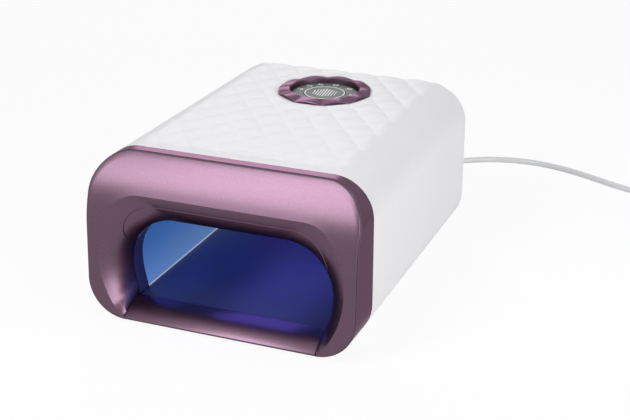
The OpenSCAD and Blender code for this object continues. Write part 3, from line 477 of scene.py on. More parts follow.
def screw_shape(head, height, shank, length):
    """Screw along Z with its seat at nought: the head above it and the shank below."""
    bm = bmesh.new()
    bmesh.ops.create_grid(bm, x_segments=5, y_segments=5, size=1)
    for vert in bm.verts:
        square = max(abs(vert.co.x), abs(vert.co.y))
        share = min(1, max(0, (square - 0.2) / 0.8))
        if share > 0:
            vert.co *= (1 - share) + share * square / vert.co.length
        vert.co *= crown_share * head * MM
        vert.co.z = (height - crown_fall * height * square) * MM
    cross = []
    for face in bm.faces:
        near = face.calc_center_median()
        across = sorted((abs(near.x), abs(near.y)))
        if across[0] < cross_wide * head * MM and across[1] < cross_arm * head * MM:
            cross.append(face)
    raise_faces(bm, cross, -cross_deep * height)
    bmesh.ops.delete(bm, geom=cross, context="FACES")
    rings = [(head, 0.6 * height), (head, 0.0), (shank, 0.0)]
    rings += [(shank, -length + shank), (0.25 * shank, -length)]
    for radius, level in rings:
        rim = [edge for edge in bm.edges if edge.is_boundary]
        grown = bmesh.ops.extrude_edge_only(bm, edges=rim)["geom"]
        for vert in [item for item in grown if isinstance(item, bmesh.types.BMVert)]:
            out = Vector((vert.co.x, vert.co.y, 0)).normalized() * radius * MM
            vert.co = out + Vector((0, 0, level * MM))
    bmesh.ops.holes_fill(bm, edges=[edge for edge in bm.edges if edge.is_boundary], sides=0)
    bmesh.ops.recalc_face_normals(bm, faces=bm.faces)
    return bm


def screw_group(name, node, turn, seats, **size):
    """One piece of like screws at these seats, standing for a CAD node of screws."""
    shape = screw_shape(**size)
    bm = bmesh.new()
    for i, seat in enumerate(seats):
        twist = Matrix.Rotation(math.radians(first_twist + next_twist * i), 4, "Z")
        add_copy(bm, shape, Matrix.Translation(seat) @ turn @ twist)
    shape.free()
    make_piece(name, bm, [zinc_steel], "housing", [node], 40)


def corners_of(node, inset, axis):
    """The four places in the corners of a node's box, seen along an axis, drawn in by a margin in
    millimetres."""
    low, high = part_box(node)
    inset = inset * MM
    across = [i for i in range(3) if i != axis]
    places = []
    for first in (low[across[0]] + inset, high[across[0]] - inset):
        for second in (low[across[1]] + inset, high[across[1]] - inset):
            place = Vector((0, 0, 0))
            place[across[0]] = first
            place[across[1]] = second
            places.append(place)
    return places


def corner_screws(name, node, turn, **size):
    """Four screws in the corners of a node's box, with their heads to the side that they turn to."""
    out = turn @ Vector((0, 0, 1))
    axis = [round(abs(step)) for step in out].index(1)
    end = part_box(node)[1 if out[axis] > 0 else 0]
    seats = corners_of(node, size["head"], axis)
    for seat in seats:
        seat[axis] = end[axis] - out[axis] * size["height"] * MM
    screw_group(name, node, turn, seats, **size)


# Zinc-plated steel: a cool grey metal, dulled in small crystals by its plating.
zinc_steel, tree, shader, coordinates = start_material("steel, zinc plated")
crystals = add_node(tree, "ShaderNodeTexVoronoi", {"Vector": coordinates, "Scale": 1 / (zinc_grain * MM)})
gloss = add_node(tree, "ShaderNodeMapRange", {
    "Value": crystals.outputs["Distance"],
    "To Min": 0.26,
    "To Max": 0.42,
})
set_inputs(tree, shader, {
    "Base Color": hex_linear("#B4B7BB"),
    "Metallic": 1.0,
    "Roughness": gloss.outputs["Result"],
})
upright = Matrix.Identity(4)
corner_screws("light_board_screws", "led_screws", upright, head=2.5, height=1.5, shank=1.2, length=3.4)

# Control board: the small green board under the panel, hung from four posts of the sleeve. It
# carries the black push switch and six clear guides that lead its lights up to the print.
dress("control_board", light_board)
dress("indicator_lights", bead_lens)

# Black polyamide, moulded: hard and half matt, with a fine dry grain.
switch_black = moulded_plastic("polyamide, moulded black", "#26272A", "#1C1D1F",
                               roughness=0.45, grain=0.4, depth=0.01, cloud=6.0)
dress("switch_body", switch_black)
dress("switch_plunger", switch_black)
upside_down = Matrix.Rotation(math.pi, 4, "X")
corner_screws("control_board_screws", "control_screws", upside_down,
              head=2.6, height=1.6, shank=1.2, length=9)

# Power board: upright behind the tunnel, with a taped transformer, two sleeved capacitors and a
# green terminal block. Three leads join it to the cord, the light board and the control board.
wire_ridge = 0.12
tape_step = 12
power_board = circuit_board("circuit board, dark green solder mask", "#17512F", "#33774F")
dress("power_board", power_board)

# Winding tape, polyester film: yellow and glossy, with the soft ridges of the wire beneath.
winding_tape, tree, shader, coordinates = start_material("polyester tape, wound yellow")
ridges = add_node(tree, "ShaderNodeTexWave", {
    "Vector": coordinates,
    "Scale": 1 / (tape_step * MM),
    "Distortion": 0.6,
}, bands_direction="Z")
tint = add_node(tree, "ShaderNodeMix", {
    "Factor": ridges.outputs["Fac"],
    "A": hex_linear("#C9A83A"),
    "B": hex_linear("#DDC058"),
}, data_type="RGBA")
ripple = add_node(tree, "ShaderNodeBump", {"Height": ridges.outputs["Fac"], "Distance": wire_ridge * MM})
set_inputs(tree, shader, {
    "Base Color": tint.outputs["Result"],
    "Roughness": 0.3,
    "Normal": ripple.outputs["Normal"],
})
dress("transformer", winding_tape)
dress("filter_capacitors", switch_black)

# Green polyamide, moulded, for the terminals, and red silicone, extruded, for the leads: both half
# glossy, the lead a little softer to the eye.
block_green = moulded_plastic("polyamide, moulded green", "#3F9B4E", "#358A44",
                              roughness=0.42, grain=0.5, depth=0.01, cloud=8.0)
dress("terminal_block", block_green)
lead_red = moulded_plastic("silicone, extruded red", "#B0312C", "#9C2A27",
                           roughness=0.5, grain=0.8, depth=0.01, cloud=6.0)
dress("led_lead", lead_red)
dress("panel_lead", lead_red)
facing_rear = Matrix.Rotation(-math.pi / 2, 4, "X")
corner_screws("power_board_screws", "power_screws", facing_rear, head=2.6, height=1.6, shank=1.2, length=6.5)

# Quilted sleeve: one white moulding that wraps the housing and is open underneath for the tray.
# Its top carries rows of shallow puffed diamonds, its corners are plain, and its rear rim is
# rounded. Posts inside take the screws of the rear panel and of the control board.
low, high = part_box("outer_shell")
half_w = high.x / MM
sleeve_front = low.y / MM
sleeve_rear = high.y / MM
z_base = low.z / MM
z_top = high.z / MM
sleeve_d = sleeve_rear - sleeve_front
corner_r = 28.5
sleeve_wall = 2.5
draft_w = 2.4
draft_z = 2.6
slot_half = 72.514
rim_round = 1.7
quilt_w = 23.3
quilt_l = 32.6
quilt_depth = 0.9
quilt_rear = sleeve_rear - 2
quilt_puff = 0.5
quilt_soft = 0.16
quilt_rise = 1.8
quilt_fade_in = half_w - corner_r
quilt_fade_out = quilt_fade_in + 11
panel_y = 72.0
panel_hole = 28.5
panel_flat = 34.0
quilt_front_fade = 9
quilt_panel_fade = 7
post_r = 3.5
post_bore = 1.25
post_l = 12.6
post_x = 25.5
post_y = 23.5
post_foot = z_top - 14
boss_r = 3.4
boss_bore = 1.3
boss_l = 16.9
boss_front = 104.5
rear_head = 2.4
sleeve_rows = 150
rim_rows = 6
low_steps = 10
side_steps = 6
corner_steps = 20
top_steps = 144


def mix(a, b, t):
    """Value or point at a share of the way between two."""
    return a + (b - a) * t


def smooth_step(start, end, value):
    """Nought before start and one after end, with a soft change between."""
    t = min(1, max(0, (value - start) / (end - start)))
    return t * t * (3 - 2 * t)


def housing_outline(half, foot, top, radius, slot, steps):
    """Points round the housing with their outward directions, from the left edge of its open
    underside, over the top, to the right edge."""
    side_x = half - radius
    first = math.asin((slot - side_x) / radius) - math.pi / 2
    left = []
    for i in range(steps[0]):
        a = mix(first, 0, i / steps[0])
        nx = -math.cos(a)
        nz = math.sin(a)
        left.append((-side_x + radius * nx, foot + radius + radius * nz, nx, nz))
    for i in range(steps[1]):
        left.append((-half, mix(foot + radius, top - radius, i / steps[1]), -1, 0))
    for i in range(steps[2]):
        a = math.pi / 2 * i / steps[2]
        nx = -math.cos(a)
        nz = math.sin(a)
        left.append((-side_x + radius * nx, top - radius + radius * nz, nx, nz))
    for i in range(steps[3] // 2):
        left.append((mix(-side_x, 0, 2 * i / steps[3]), top, 0, 1))
    return left + [(0, top, 0, 1)] + [(-x, z, -nx, nz) for x, z, nx, nz in reversed(left)]


def shaped_grid(columns, rows, place):
    """Sheet of faces whose points are put in place, in millimetres, by column and row."""
    bm = bmesh.new()
    bmesh.ops.create_grid(bm, x_segments=columns, y_segments=rows, size=1)
    for vert in bm.verts:
        column = round((vert.co.x + 1) / 2 * columns)
        row = round((vert.co.y + 1) / 2 * rows)
        vert.co = Vector(place(column, row)) * MM
    return bm


def close_up(bm):
    """Joins doubled seams, caps open ends and turns every face outwards."""
    bmesh.ops.remove_doubles(bm, verts=bm.verts, dist=weld)
    bmesh.ops.holes_fill(bm, edges=[edge for edge in bm.edges if edge.is_boundary], sides=0)
    bmesh.ops.recalc_face_normals(bm, faces=bm.faces)


def quilt_lift(x, y):
    """How far the quilted top stands over the plain sleeve: padded diamonds with soft seams, which
    die out over the corners, towards the collar and round the panel."""
    folds = [abs(math.sin(math.pi * (side * x / quilt_w + (y - quilt_rear) / quilt_l))) for side in (-1, 1)]
    full = math.hypot(1, quilt_soft) - quilt_soft
    soft = [(math.hypot(fold, quilt_soft) - quilt_soft) / full for fold in folds]
    crown = (soft[0] * soft[1]) ** quilt_puff
    across = 1 - smooth_step(quilt_fade_in, quilt_fade_out, abs(x))
    along = smooth_step(sleeve_front, sleeve_front + quilt_front_fade, y)
    round_panel = smooth_step(panel_flat, panel_flat + quilt_panel_fade, math.hypot(x, y - panel_y))
    return (quilt_rise * along - quilt_depth * (1 - crown)) * across * round_panel


outer_rows = sleeve_rows + rim_rows
inner_ys = [sleeve_rear] + [panel_y + 32 - 2 * i for i in range(33)] + [0.0, -45.0, sleeve_front]
sleeve_steps = (low_steps, side_steps, corner_steps, top_steps)
sleeve_columns = 2 * (low_steps + side_steps + corner_steps) + top_steps
outlines = {}


def sleeve_place(column, row):
    """Point of the sleeve: rows run back over the outside, round the rim and forward inside."""
    if row <= sleeve_rows:
        y = mix(sleeve_front, sleeve_rear - rim_round, row / sleeve_rows)
        inset = 0
    elif row <= outer_rows:
        a = math.pi / 2 * (row - sleeve_rows) / rim_rows
        y = sleeve_rear - rim_round + rim_round * math.sin(a)
        inset = rim_round - rim_round * math.cos(a)
    else:
        y = inner_ys[row - outer_rows - 1]
        inset = sleeve_wall
    if row not in outlines:
        share = (y - sleeve_front) / sleeve_d
        outlines[row] = housing_outline(half_w - draft_w * share / 2, z_base + draft_z * share, z_top,
                                        corner_r, slot_half, sleeve_steps)
    x, z, nx, nz = outlines[row][column]
    if nz > 0 and row <= outer_rows:
        inset -= quilt_lift(x, y) * nz
    return x - nx * inset, y, z - nz * inset


bm = shaped_grid(sleeve_columns, outer_rows + len(inner_ys), sleeve_place)
front_edges = [
    edge for edge in bm.edges
    if edge.is_boundary and all(abs(vert.co.y - sleeve_front * MM) < 0.01 * MM for vert in edge.verts)
]
bmesh.ops.bridge_loops(bm, edges=front_edges)
panel_middle = Vector((0, panel_y * MM))
cut = [
    face for face in bm.faces
    if face.calc_center_median().z > (z_top - 10) * MM
    and (face.calc_center_median().xy - panel_middle).length < panel_hole * MM
]
bmesh.ops.delete(bm, geom=cut, context="FACES")
hole_edges = [
    edge for edge in bm.edges
    if edge.is_boundary and (edge.verts[0].co.xy - panel_middle).length < (panel_hole + 12) * MM
    and edge.verts[0].co.z > (z_top - 10) * MM
]
for vert in {vert for edge in hole_edges for vert in edge.verts}:
    out = (vert.co.xy - panel_middle).normalized() * panel_hole * MM
    vert.co.x = out.x
    vert.co.y = panel_middle.y + out.y
bmesh.ops.bridge_loops(bm, edges=hole_edges)
close_up(bm)

board_post = turned([(post_bore, 0), (post_r, 0), (post_r, post_l), (post_bore, post_l)], 24, True)
for x in (-post_x, post_x):
    for y in (panel_y - post_y, panel_y + post_y):
        add_copy(bm, board_post, Matrix.Translation((x * MM, y * MM, post_foot * MM)))
board_post.free()
rear_boss = turned([(boss_bore, 0), (boss_r, 0), (boss_r, boss_l), (boss_bore, boss_l)], 24, True)
for place in corners_of("rear_screws", rear_head, 1):
    add_copy(bm, rear_boss, Matrix.Translation(place + Vector((0, boss_front * MM, 0))) @ facing_rear)
rear_boss.free()

# White ABS, moulded satin: a clean cold white with a soft broad gloss. The spark-eroded grain is
# about 0.1 mm on the real sleeve, and is drawn at 0.45 mm so that it shows at all.
white_abs = moulded_plastic("ABS, moulded satin white", "#EAE9EB", "#E6E5E8",
                            roughness=0.42, grain=0.45, depth=0.006, cloud=45.0, specular=0.12)
make_piece("quilted_sleeve", bm, [white_abs], "housing", ["outer_shell"], 38)

# Base screws: three along each side, in zinc-plated steel, driven up through the sleeve into the
# chassis. Their seats rise towards the rear with the sleeve's foot.
base_head = 2.8
base_middle_y = 6.5
base_seat = 2.1
base_seats = []
low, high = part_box("base_screws")
for x in (low.x + base_head * MM, high.x - base_head * MM):
    for y in (low.y + base_head * MM, base_middle_y * MM, high.y - base_head * MM):
        rise = draft_z * (y / MM - sleeve_front) / sleeve_d
        base_seats.append(Vector((x, y, (z_base + base_seat + rise) * MM)))
screw_group("base_frame_screws", "base_screws", upside_down, base_seats,
            head=base_head, height=1.5, shank=1.4, length=11)

# Rear panel: a flat grey cover set into the sleeve's rear edge, with six vent slots over the power
# board, a round hole for the gland and four screws in its corners.
rear_edge = 0.35

# Pale grey ABS, moulded: a dry, even surface, duller than the sleeve.
rear_plastic = moulded_plastic("ABS, moulded pale grey", "#DCDCDF", "#D5D5D9",
                               roughness=0.5, grain=0.6, depth=0.02)
make_piece("vented_rear_cover", softened("rear_panel", rear_edge), [rear_plastic], "housing",
           ["rear_panel"])
corner_screws("rear_cover_screws", "rear_screws", facing_rear,
              head=rear_head, height=0.9, shank=1.2, length=12)

# Collar: the mauve band between the sleeve and the front face. It follows the housing's outline,
# and its front edge leans and curves back with the face. The wall just behind that edge is painted
# near black as the shade in the gap behind the face, so it shows as a thin dark line.
band_wall = 3.0
band_gap = 0.9
seam_half = 72.014
front_foot = -125.0
front_lean = 5.0
front_setback = 25.0
curve_start = 66.5
body_h = z_top - z_base
lean = front_lean / body_h
lean_length = math.hypot(1, lean)
curve_z = z_base + curve_start
curve_y = front_foot + lean * curve_start
curve_run = front_setback - lean * curve_start
curve_rise = body_h - curve_start
curve_radius = (curve_run ** 2 + curve_rise ** 2) * lean_length / (2 * (curve_run - lean * curve_rise))
curve_middle_y = curve_y + curve_radius / lean_length
curve_middle_z = curve_z - curve_radius * lean / lean_length


def front_y(z):
    """Depth of the front face at a height: a leaning line that runs into an arc."""
    if z < curve_z:
        return front_foot + lean * (z - z_base)
    return curve_middle_y - math.sqrt(curve_radius ** 2 - (z - curve_middle_z) ** 2)


band_steps = (16, 24, 24, 60)
band_columns = 2 * sum(band_steps[:3]) + band_steps[3]
band_outline = housing_outline(half_w, z_base, z_top, corner_r, seam_half, band_steps)
# Rows of the collar's section: inset from the outline, share of the way back and distance back.
band_section = [
    (0.3, 1.0, 0.0), (0.0, 1.0, -0.3), (0.0, 1.0, -0.7), (0.0, 0.5, 0.0), (0.0, 0.0, 0.6), (0.0, 0.0, 0.2),
    (0.15, 0.0, 0.05), (0.35, 0.0, 0.0), (band_wall, 0.0, 0.0), (band_wall, 1.0, 0.0),
]
painted_shade_row = 6


def band_place(column, row):
    """Point of the collar: rows run forward over the outside, round the front edge and back."""
    x, z, nx, nz = band_outline[column]
    inset, share, back = band_section[row % len(band_section)]
    px = x - nx * inset
    pz = z - nz * inset
    return px, mix(front_y(pz) + band_gap, sleeve_front, share) + back, pz


def second_finish(bm, columns, first, last):
    """Gives the second material to the faces of a sheet from one row to another."""
    bm.verts.ensure_lookup_table()
    for face in bm.faces:
        row = min(vert.index // (columns + 1) for vert in face.verts)
        face.material_index = 1 if first <= row <= last else 0


bm = shaped_grid(band_columns, len(band_section), band_place)
# The front wall rows get the near black of painted shade.
second_finish(bm, band_columns, painted_shade_row, painted_shade_row + 1)
close_up(bm)

# Mauve pearl lacquer, sprayed on ABS: fine metal flakes under clear coat. It mirrors softly, goes
# bright where a light is met square and dark at a slant. The flakes are about 0.05 mm, and are
# drawn at 0.5 mm so that their sparkle shows.
mauve_lacquer, tree, shader, coordinates = start_material("pearl lacquer, sprayed mauve")
flakes = add_node(tree, "ShaderNodeTexVoronoi", {"Vector": coordinates, "Scale": 1 / (0.5 * MM)})
flake_shade = add_node(tree, "ShaderNodeSeparateColor", {0: flakes.outputs["Color"]})
pearl = add_node(tree, "ShaderNodeMix", {
    "Factor": flake_shade.outputs[0],
    "A": hex_linear("#624C5B"),
    "B": hex_linear("#6A5262"),
}, data_type="RGBA")
gloss = add_node(tree, "ShaderNodeMapRange", {
    "Value": flake_shade.outputs[1],
    "To Min": 0.31,
    "To Max": 0.35,
})
set_inputs(tree, shader, {
    "Base Color": pearl.outputs["Result"],
    "Metallic": 1.0,
    "Roughness": gloss.outputs["Result"],
    "Specular Tint": hex_linear("#B8A8B3"),
    "Coat Weight": 0.12,
    "Coat Roughness": 0.18,
})

# Near black, dull and warm: painted shade on the collar's wall behind its front edge and on the tray's
# bottom edge, and the plain colour of the ring's hidden underside.
shade_and_bare_black = moulded_plastic("ABS, black: painted shade and bare underside", "#2A2529", "#221E22",
                             roughness=0.6, grain=0.4, depth=0.01, cloud=8.0)
make_piece("mauve_collar", bm, [mauve_lacquer, shade_and_bare_black], "housing", ["bezel_band"], 38)

# Front bezel: the mauve face whose mouth is scooped in to a straight throat. It is moulded in one
# piece, stands on the tray's seam at both ends, and has a shallow recess for the visor.
mouth_mid = z_base + 36.0
flare_half = half_w - 8.8
flare_top = z_top - 26.2
flare_mid = z_base + 47.5
flare_side_r = 68.0
flare_corner_r = 26.0
flare_side_x = flare_half - flare_side_r
flare_corner_z = flare_top - flare_corner_r
flare_step = flare_side_r - flare_corner_r
flare_corner_x = flare_side_x + math.sqrt(flare_step ** 2 - (flare_corner_z - flare_mid) ** 2)
flare_end_z = z_base + 1.0
flare_end_x = flare_side_x + math.sqrt(flare_side_r ** 2 - (flare_mid - flare_end_z) ** 2)
mouth_half = flare_half - 15.2
mouth_top = flare_top - 21.3
mouth_r = mouth_top - mouth_mid
mouth_x = mouth_half - mouth_r
throat_front = front_foot + 23.0
throat_rear = sleeve_front + 3.5
throat_end_z = z_base + 10.8
mouth_end_x = math.sqrt(mouth_half ** 2 - (mouth_mid - throat_end_z) ** 2)
face_wall = 2.4
scoop_start = math.radians(38)
scoop_end = math.radians(68)
flare_round = 0.45
visor_edge = 0.33
visor_low = 0.94
visor_bend = 0.5
visor_end = 0.7
visor_pocket = 1.1
rim_t = 0.8
seam_x = seam_half + 0.04
seam_blend = 0.93
ramp_r = 33.0
crest_y = front_foot + 22.0
crest_z = z_base + 10.4


def ray_to_circle(p, cx, cz, r):
    """Distance from the middle of the mouth to the far side of a circle, at a ray's angle."""
    b = math.cos(p) * cx + math.sin(p) * cz
    return b + math.sqrt(max(0, b * b - cx * cx - cz * cz + r * r))


def mouth_ray(q):
    """Distance to the throat: side arcs about the middle, round corners and a flat ceiling."""
    if q <= 0:
        return mouth_half
    t = ray_to_circle(q, mouth_x, 0, mouth_r)
    return mouth_r / math.sin(q) if t * math.cos(q) < mouth_x else t


def flare_ray(q):
    """Distance to the outer edge of the scoop: bowed sides, round corners and a flat top."""
    t = ray_to_circle(q, flare_corner_x, flare_corner_z - mouth_mid, flare_corner_r)
    a = math.atan2(t * math.sin(q) - (flare_corner_z - mouth_mid), t * math.cos(q) - flare_corner_x)
    if a > math.pi / 2:
        return (flare_top - mouth_mid) / math.sin(q)
    if a > math.asin((flare_corner_z - flare_mid) / flare_step):
        return t
    return ray_to_circle(q, flare_side_x, flare_mid - mouth_mid, flare_side_r)


def body_ray(q, inset):
    """Distance to the housing's outline, drawn in by a margin."""
    wide = half_w - inset
    r = corner_r - inset
    top = z_top - inset - mouth_mid
    foot = z_base + inset - mouth_mid
    straight = wide / math.cos(q) if math.cos(q) > 1e-6 else 1e6
    if foot + r < straight * math.sin(q) < top - r:
        return straight
    t = ray_to_circle(q, wide - r, top - r if q > 0 else foot + r, r)
    if t * math.cos(q) < wide - r:
        return (top if q > 0 else foot) / math.sin(q)
    return t


def round_mouth(u, ray, x_end, z_end, *margin):
    """Point of an outline at a share of the way round, from 1 at the right foot to -1 at the left."""
    q = math.pi / 2 - abs(u) * (math.pi / 2 + math.atan2(mouth_mid - z_end, x_end))
    r = ray(q, *margin)
    return Vector((math.copysign(r * math.cos(q), u), mouth_mid + r * math.sin(q)))


def body_at(u, inset):
    """Point of the housing's outline at a share of the way round, drawn in by a margin."""
    return round_mouth(u, body_ray, seam_half, z_base + inset, inset)


def flare_at(u):
    """Point of the scoop's outer edge at a share of the way round."""
    return round_mouth(u, flare_ray, flare_end_x, flare_end_z)


def mouth_at(u, grow):
    """Point of the throat's outline at a share of the way round, moved out by a distance."""
    return round_mouth(u, lambda q: mouth_ray(q) + grow, mouth_end_x, throat_end_z)


def face_point(p, back):
    """Point of the front face, moved back by a distance."""
    return p.x, front_y(p.y) + back, p.y


def scoop_point(f, m, t, back):
    """Point of the scoop, a softly curved cone from a crisp outer edge to the throat, moved back by
    a distance."""
    a = mix(scoop_start, scoop_end, t)
    inwards = (math.sin(a) - math.sin(scoop_start)) / (math.sin(scoop_end) - math.sin(scoop_start))
    backwards = (math.cos(scoop_start) - math.cos(a)) / (math.cos(scoop_start) - math.cos(scoop_end))
    p = mix(f, m, inwards)
    depth = mix(front_y(f.y), throat_front, backwards)
    return p.x, min(depth + back, sleeve_front - 1), p.y


def visor_t(u):
    """Share of the scoop's depth at which the visor's edge runs. Its ends bend down to the throat."""
    turn = min(1, max(0, (abs(u) - visor_bend) / (visor_end - visor_bend)))
    return mix(visor_edge, visor_low, 1 - math.sqrt(1 - turn ** 2))


def seated(u, point):
    """Point of the scoop, drawn to the tray's seam and up to the tray's ramp at the very ends."""
    x, y, z = point
    share = smooth_step(seam_blend, 1.0, abs(u))
    ramp = crest_z - ramp_r + math.sqrt(ramp_r ** 2 - min(0, y - crest_y) ** 2)
    return mix(x, math.copysign(seam_x, u), share), y, z + share * max(0, ramp + 0.2 - z)


face_shares = [i / 8 for i in range(1, 9)]
scoop_shares = [i / 8 for i in range(1, 9)]
pocket_shares = [0.02, 0.12, 0.25, 0.37, 0.5, 0.62, 0.75, 0.87, 1.0]


def bezel_section(u):
    """One section through the bezel: the front line inwards, then the back line outwards."""
    dip = visor_pocket if abs(u) < visor_end else 0
    rim = body_at(u, 0.4)
    edge = body_at(u, 0.9)
    flare = flare_at(u)
    mouth = mouth_at(u, 0)
    pocket = mouth_at(u, dip)
    back_rim = body_at(u, 1.2)
    back_edge = body_at(u, band_wall + 0.4)
    back_flare = mix(flare, back_edge, 0.1)
    back_mouth = mouth_at(u, face_wall)
    v = visor_t(u)
    front = [face_point(rim, rim_t), face_point(rim, 0.5)]
    front += [face_point(mix(rim, edge, 0.4), 0.15), face_point(edge, 0)]
    front += [face_point(mix(edge, flare, t), 0) for t in face_shares]
    front += [seated(u, scoop_point(flare, mouth, t * v, 0)) for t in scoop_shares]
    front += [seated(u, scoop_point(flare, pocket, mix(v, 1, t), dip)) for t in pocket_shares]
    foot = smooth_step(seam_blend, 1.0, abs(u))
    x = mix(mouth.x, math.copysign(seam_x, u), foot)
    z = mix(mouth.y, crest_z - 0.8, foot)
    front += [(x, throat_front + visor_pocket + 0.3, z), (x, throat_rear, z)]
    back = [face_point(back_rim, rim_t), face_point(back_edge, rim_t)]
    back += [face_point(mix(back_edge, back_flare, t), face_wall) for t in (0.05, 0.5, 0.95)]
    back += [scoop_point(back_flare, back_mouth, t, face_wall) for t in (0.2, 0.4, 0.6, 0.8, 1.0)]
    back += [(back_mouth.x, throat_rear, back_mouth.y)]
    return front + back[::-1]


bezel_columns = 192
pocket_wall = 0.0015
bezel_shares = [1 - 2 * i / bezel_columns for i in range(bezel_columns + 1)]
bezel_shares += [side * (visor_end + step) for side in (-1, 1) for step in (-pocket_wall, pocket_wall)]
bezel_shares.sort()
sections = [bezel_section(u) for u in bezel_shares]
flare_row = 3 + len(face_shares)
throat_row = flare_row + len(scoop_shares) + len(pocket_shares) + 1


def lofted(sections):
    """Sheet of faces through a row of closed sections."""
    length = len(sections[0])
    return shaped_grid(len(sections) - 1, length, lambda column, row: sections[column][row % length])


bm = lofted(sections)
# The throat row gets the navy of painted shade and painted blue light.
second_finish(bm, len(sections) - 1, throat_row, throat_row)
flare_edges = [
    edge for edge in bm.edges
    if all(vert.index // len(sections) == flare_row for vert in edge.verts)
]
round_edges(bm, flare_edges, flare_round)
close_up(bm)

# Throat: the straight lip of the mouth, moulded with the face; its satin navy is painted shade and painted
# blue light from inside.
throat_painted_blue_shade = moulded_plastic("ABS, satin navy, painted shade and blue light", "#24264C", "#1E2044",
                              roughness=0.5, grain=0.5, depth=0.006)
make_piece("scooped_front", bm, [mauve_lacquer, throat_painted_blue_shade], "housing", ["front_bezel"], 38)

# Visor: an arched strip that lies flush in the scoop's recess, round the upper half of the mouth.
# It is lacquered like the face, and the small chamfer of its upper edge catches a line of light.
visor_gap = 0.15
visor_chamfer = 0.3
visor_shares = [u for u in bezel_shares if abs(u) < visor_end - 2.5 * pocket_wall]
visor_lines = [0.018, 0.046, 0.056, 0.15, 0.28, 0.42, 0.56, 0.7, 0.84, 0.95, 0.995]
visor_sinks = [visor_chamfer] + [0] * (len(visor_lines) - 1)
visor_back = visor_pocket - visor_gap
visor_sections = []
for u in visor_shares:
    flare = flare_at(u)
    v = visor_t(u)
    front = []
    for t, sink in zip(visor_lines, visor_sinks):
        front.append(scoop_point(flare, mouth_at(u, sink), mix(v, 1, t), sink))
    back = [scoop_point(flare, mouth_at(u, visor_back), mix(v, 1, t), visor_back) for t in visor_lines]
    visor_sections.append(front + back[::-1])
bm = lofted(visor_sections)
close_up(bm)
make_piece("arched_visor", bm, [mauve_lacquer], "housing", ["mouth_visor"], 30)

# Tray: the mauve slide that pulls out for cleaning. Its hollow lip is a ramp in front of the mouth,
# and skirts under its floor run between the rails. Its bottom edge is painted near black as shade under the
# lip.
tray_edge = 0.35
painted_shade_top = (z_base + 1.5) * MM
bm = softened("tray", tray_edge)
bmesh.ops.bisect_plane(bm, geom=bm.verts[:] + bm.edges[:] + bm.faces[:], dist=0.001 * MM,
                       plane_co=(0, 0, painted_shade_top), plane_no=(0, 0, 1))
# Faces below this height get the near black of painted shade.
for face in bm.faces:
    face.material_index = 1 if face.calc_center_median().z < painted_shade_top else 0
make_piece("pull_out_tray", bm, [mauve_lacquer, shade_and_bare_black], "tray", ["tray"])

# Tray liner: a thin dark reflective sheet glued to the tray floor. It mirrors the blue light of the
# beads up to the hand.
liner_round = 0.15


def boxed(node):
    """Block that fills a CAD node's box."""
    low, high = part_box(node)
    bm = bmesh.new()
    bmesh.ops.create_cube(bm, size=1)
    bmesh.ops.scale(bm, verts=bm.verts, vec=high - low)
    bmesh.ops.translate(bm, verts=bm.verts, vec=(low + high) / 2)
    return bm


bm = boxed("tray_liner")
round_edges(bm, bm.edges[:], liner_round)

# Polyester mirror film, dark blue: a deep glossy sheet that shows the lit roof, with faint waves
# from its glue.
liner_film, tree, shader, coordinates = start_material("polyester mirror film, dark blue")
waves = add_node(tree, "ShaderNodeTexNoise", {"Vector": coordinates, "Scale": 1 / (18 * MM), "Detail": 1.0})
tint = add_node(tree, "ShaderNodeMix", {
    "Factor": waves.outputs["Fac"],
    "A": hex_linear("#20223F"),
    "B": hex_linear("#26284A"),
}, data_type="RGBA")
ripple = add_node(tree, "ShaderNodeBump", {
    "Height": waves.outputs["Fac"],
    "Distance": 0.05 * MM,
    "Strength": 0.4,
})
set_inputs(tree, shader, {
    "Base Color": tint.outputs["Result"],
    "Roughness": 0.42,
    "Specular IOR Level": 0.38,
    "Normal": ripple.outputs["Normal"],
})
make_piece("tray_floor_film", bm, [liner_film], "tray", ["tray_liner"])

# Panel ring: the mauve rosette round the control panel, with ten arched facets that meet in points.
# A collar under it clips into the hole of the sleeve and carries the grey disc on a ledge.
ring_points = 10
ring_rim = 37.0
ring_in = 26.2
ring_collar = 28.2
ring_h = 4.2
ring_ledge = -3.0
ring_columns = ring_points * 24
bore_row = 11


def ring_section(a):
    """Section of the ring at an angle, as radius and height over the sleeve."""
    wave = abs(math.sin(ring_points / 2 * a))
    pitch = 2 * math.pi / ring_points
    off = a - pitch * round(a / pitch)
    rim = ring_rim * math.cos(pitch / 2) / math.cos(pitch / 2 - abs(off))
    crest = mix(ring_in - 0.2, rim, 0.42)
    return [
        (rim - 0.9, 0),
        (rim - 0.2, ring_h * (0.03 + 0.21 * wave)),
        (rim, ring_h * (0.06 + 0.40 * wave)),
        (rim - 0.3, ring_h * (0.11 + 0.45 * wave)),
        (rim - 1.2 - 0.5 * wave, ring_h * (0.17 + 0.48 * wave)),
        (mix(rim - 1.2 - 0.5 * wave, crest, 0.5), ring_h * (0.28 + 0.43 * wave)),
        (crest, ring_h * (0.42 + 0.34 * wave)),
        (mix(crest, ring_in + 1.2, 0.6), ring_h * (0.54 + 0.26 * wave)),
        (ring_in + 1.2, ring_h * (0.62 + 0.18 * wave)),
        (ring_in + 0.3, ring_h * (0.48 + 0.14 * wave)),
        (ring_in, 0.2),
        (ring_in, ring_ledge),
        (ring_in - 3.2, ring_ledge),
        (ring_in - 3.2, ring_ledge - 2),
        (ring_in, ring_ledge - 2.4),
        (ring_in, ring_ledge - 4.5),
        (ring_collar, ring_ledge - 4.5),
        (ring_collar, 0),
    ]


def ring_place(column, row):
    """Point of the ring by its column round the panel and its row round the section."""
    a = 2 * math.pi * (column % ring_columns) / ring_columns
    section = ring_section(a)
    radius, height = section[row % len(section)]
    return radius * math.cos(a), panel_y + radius * math.sin(a), z_top + height


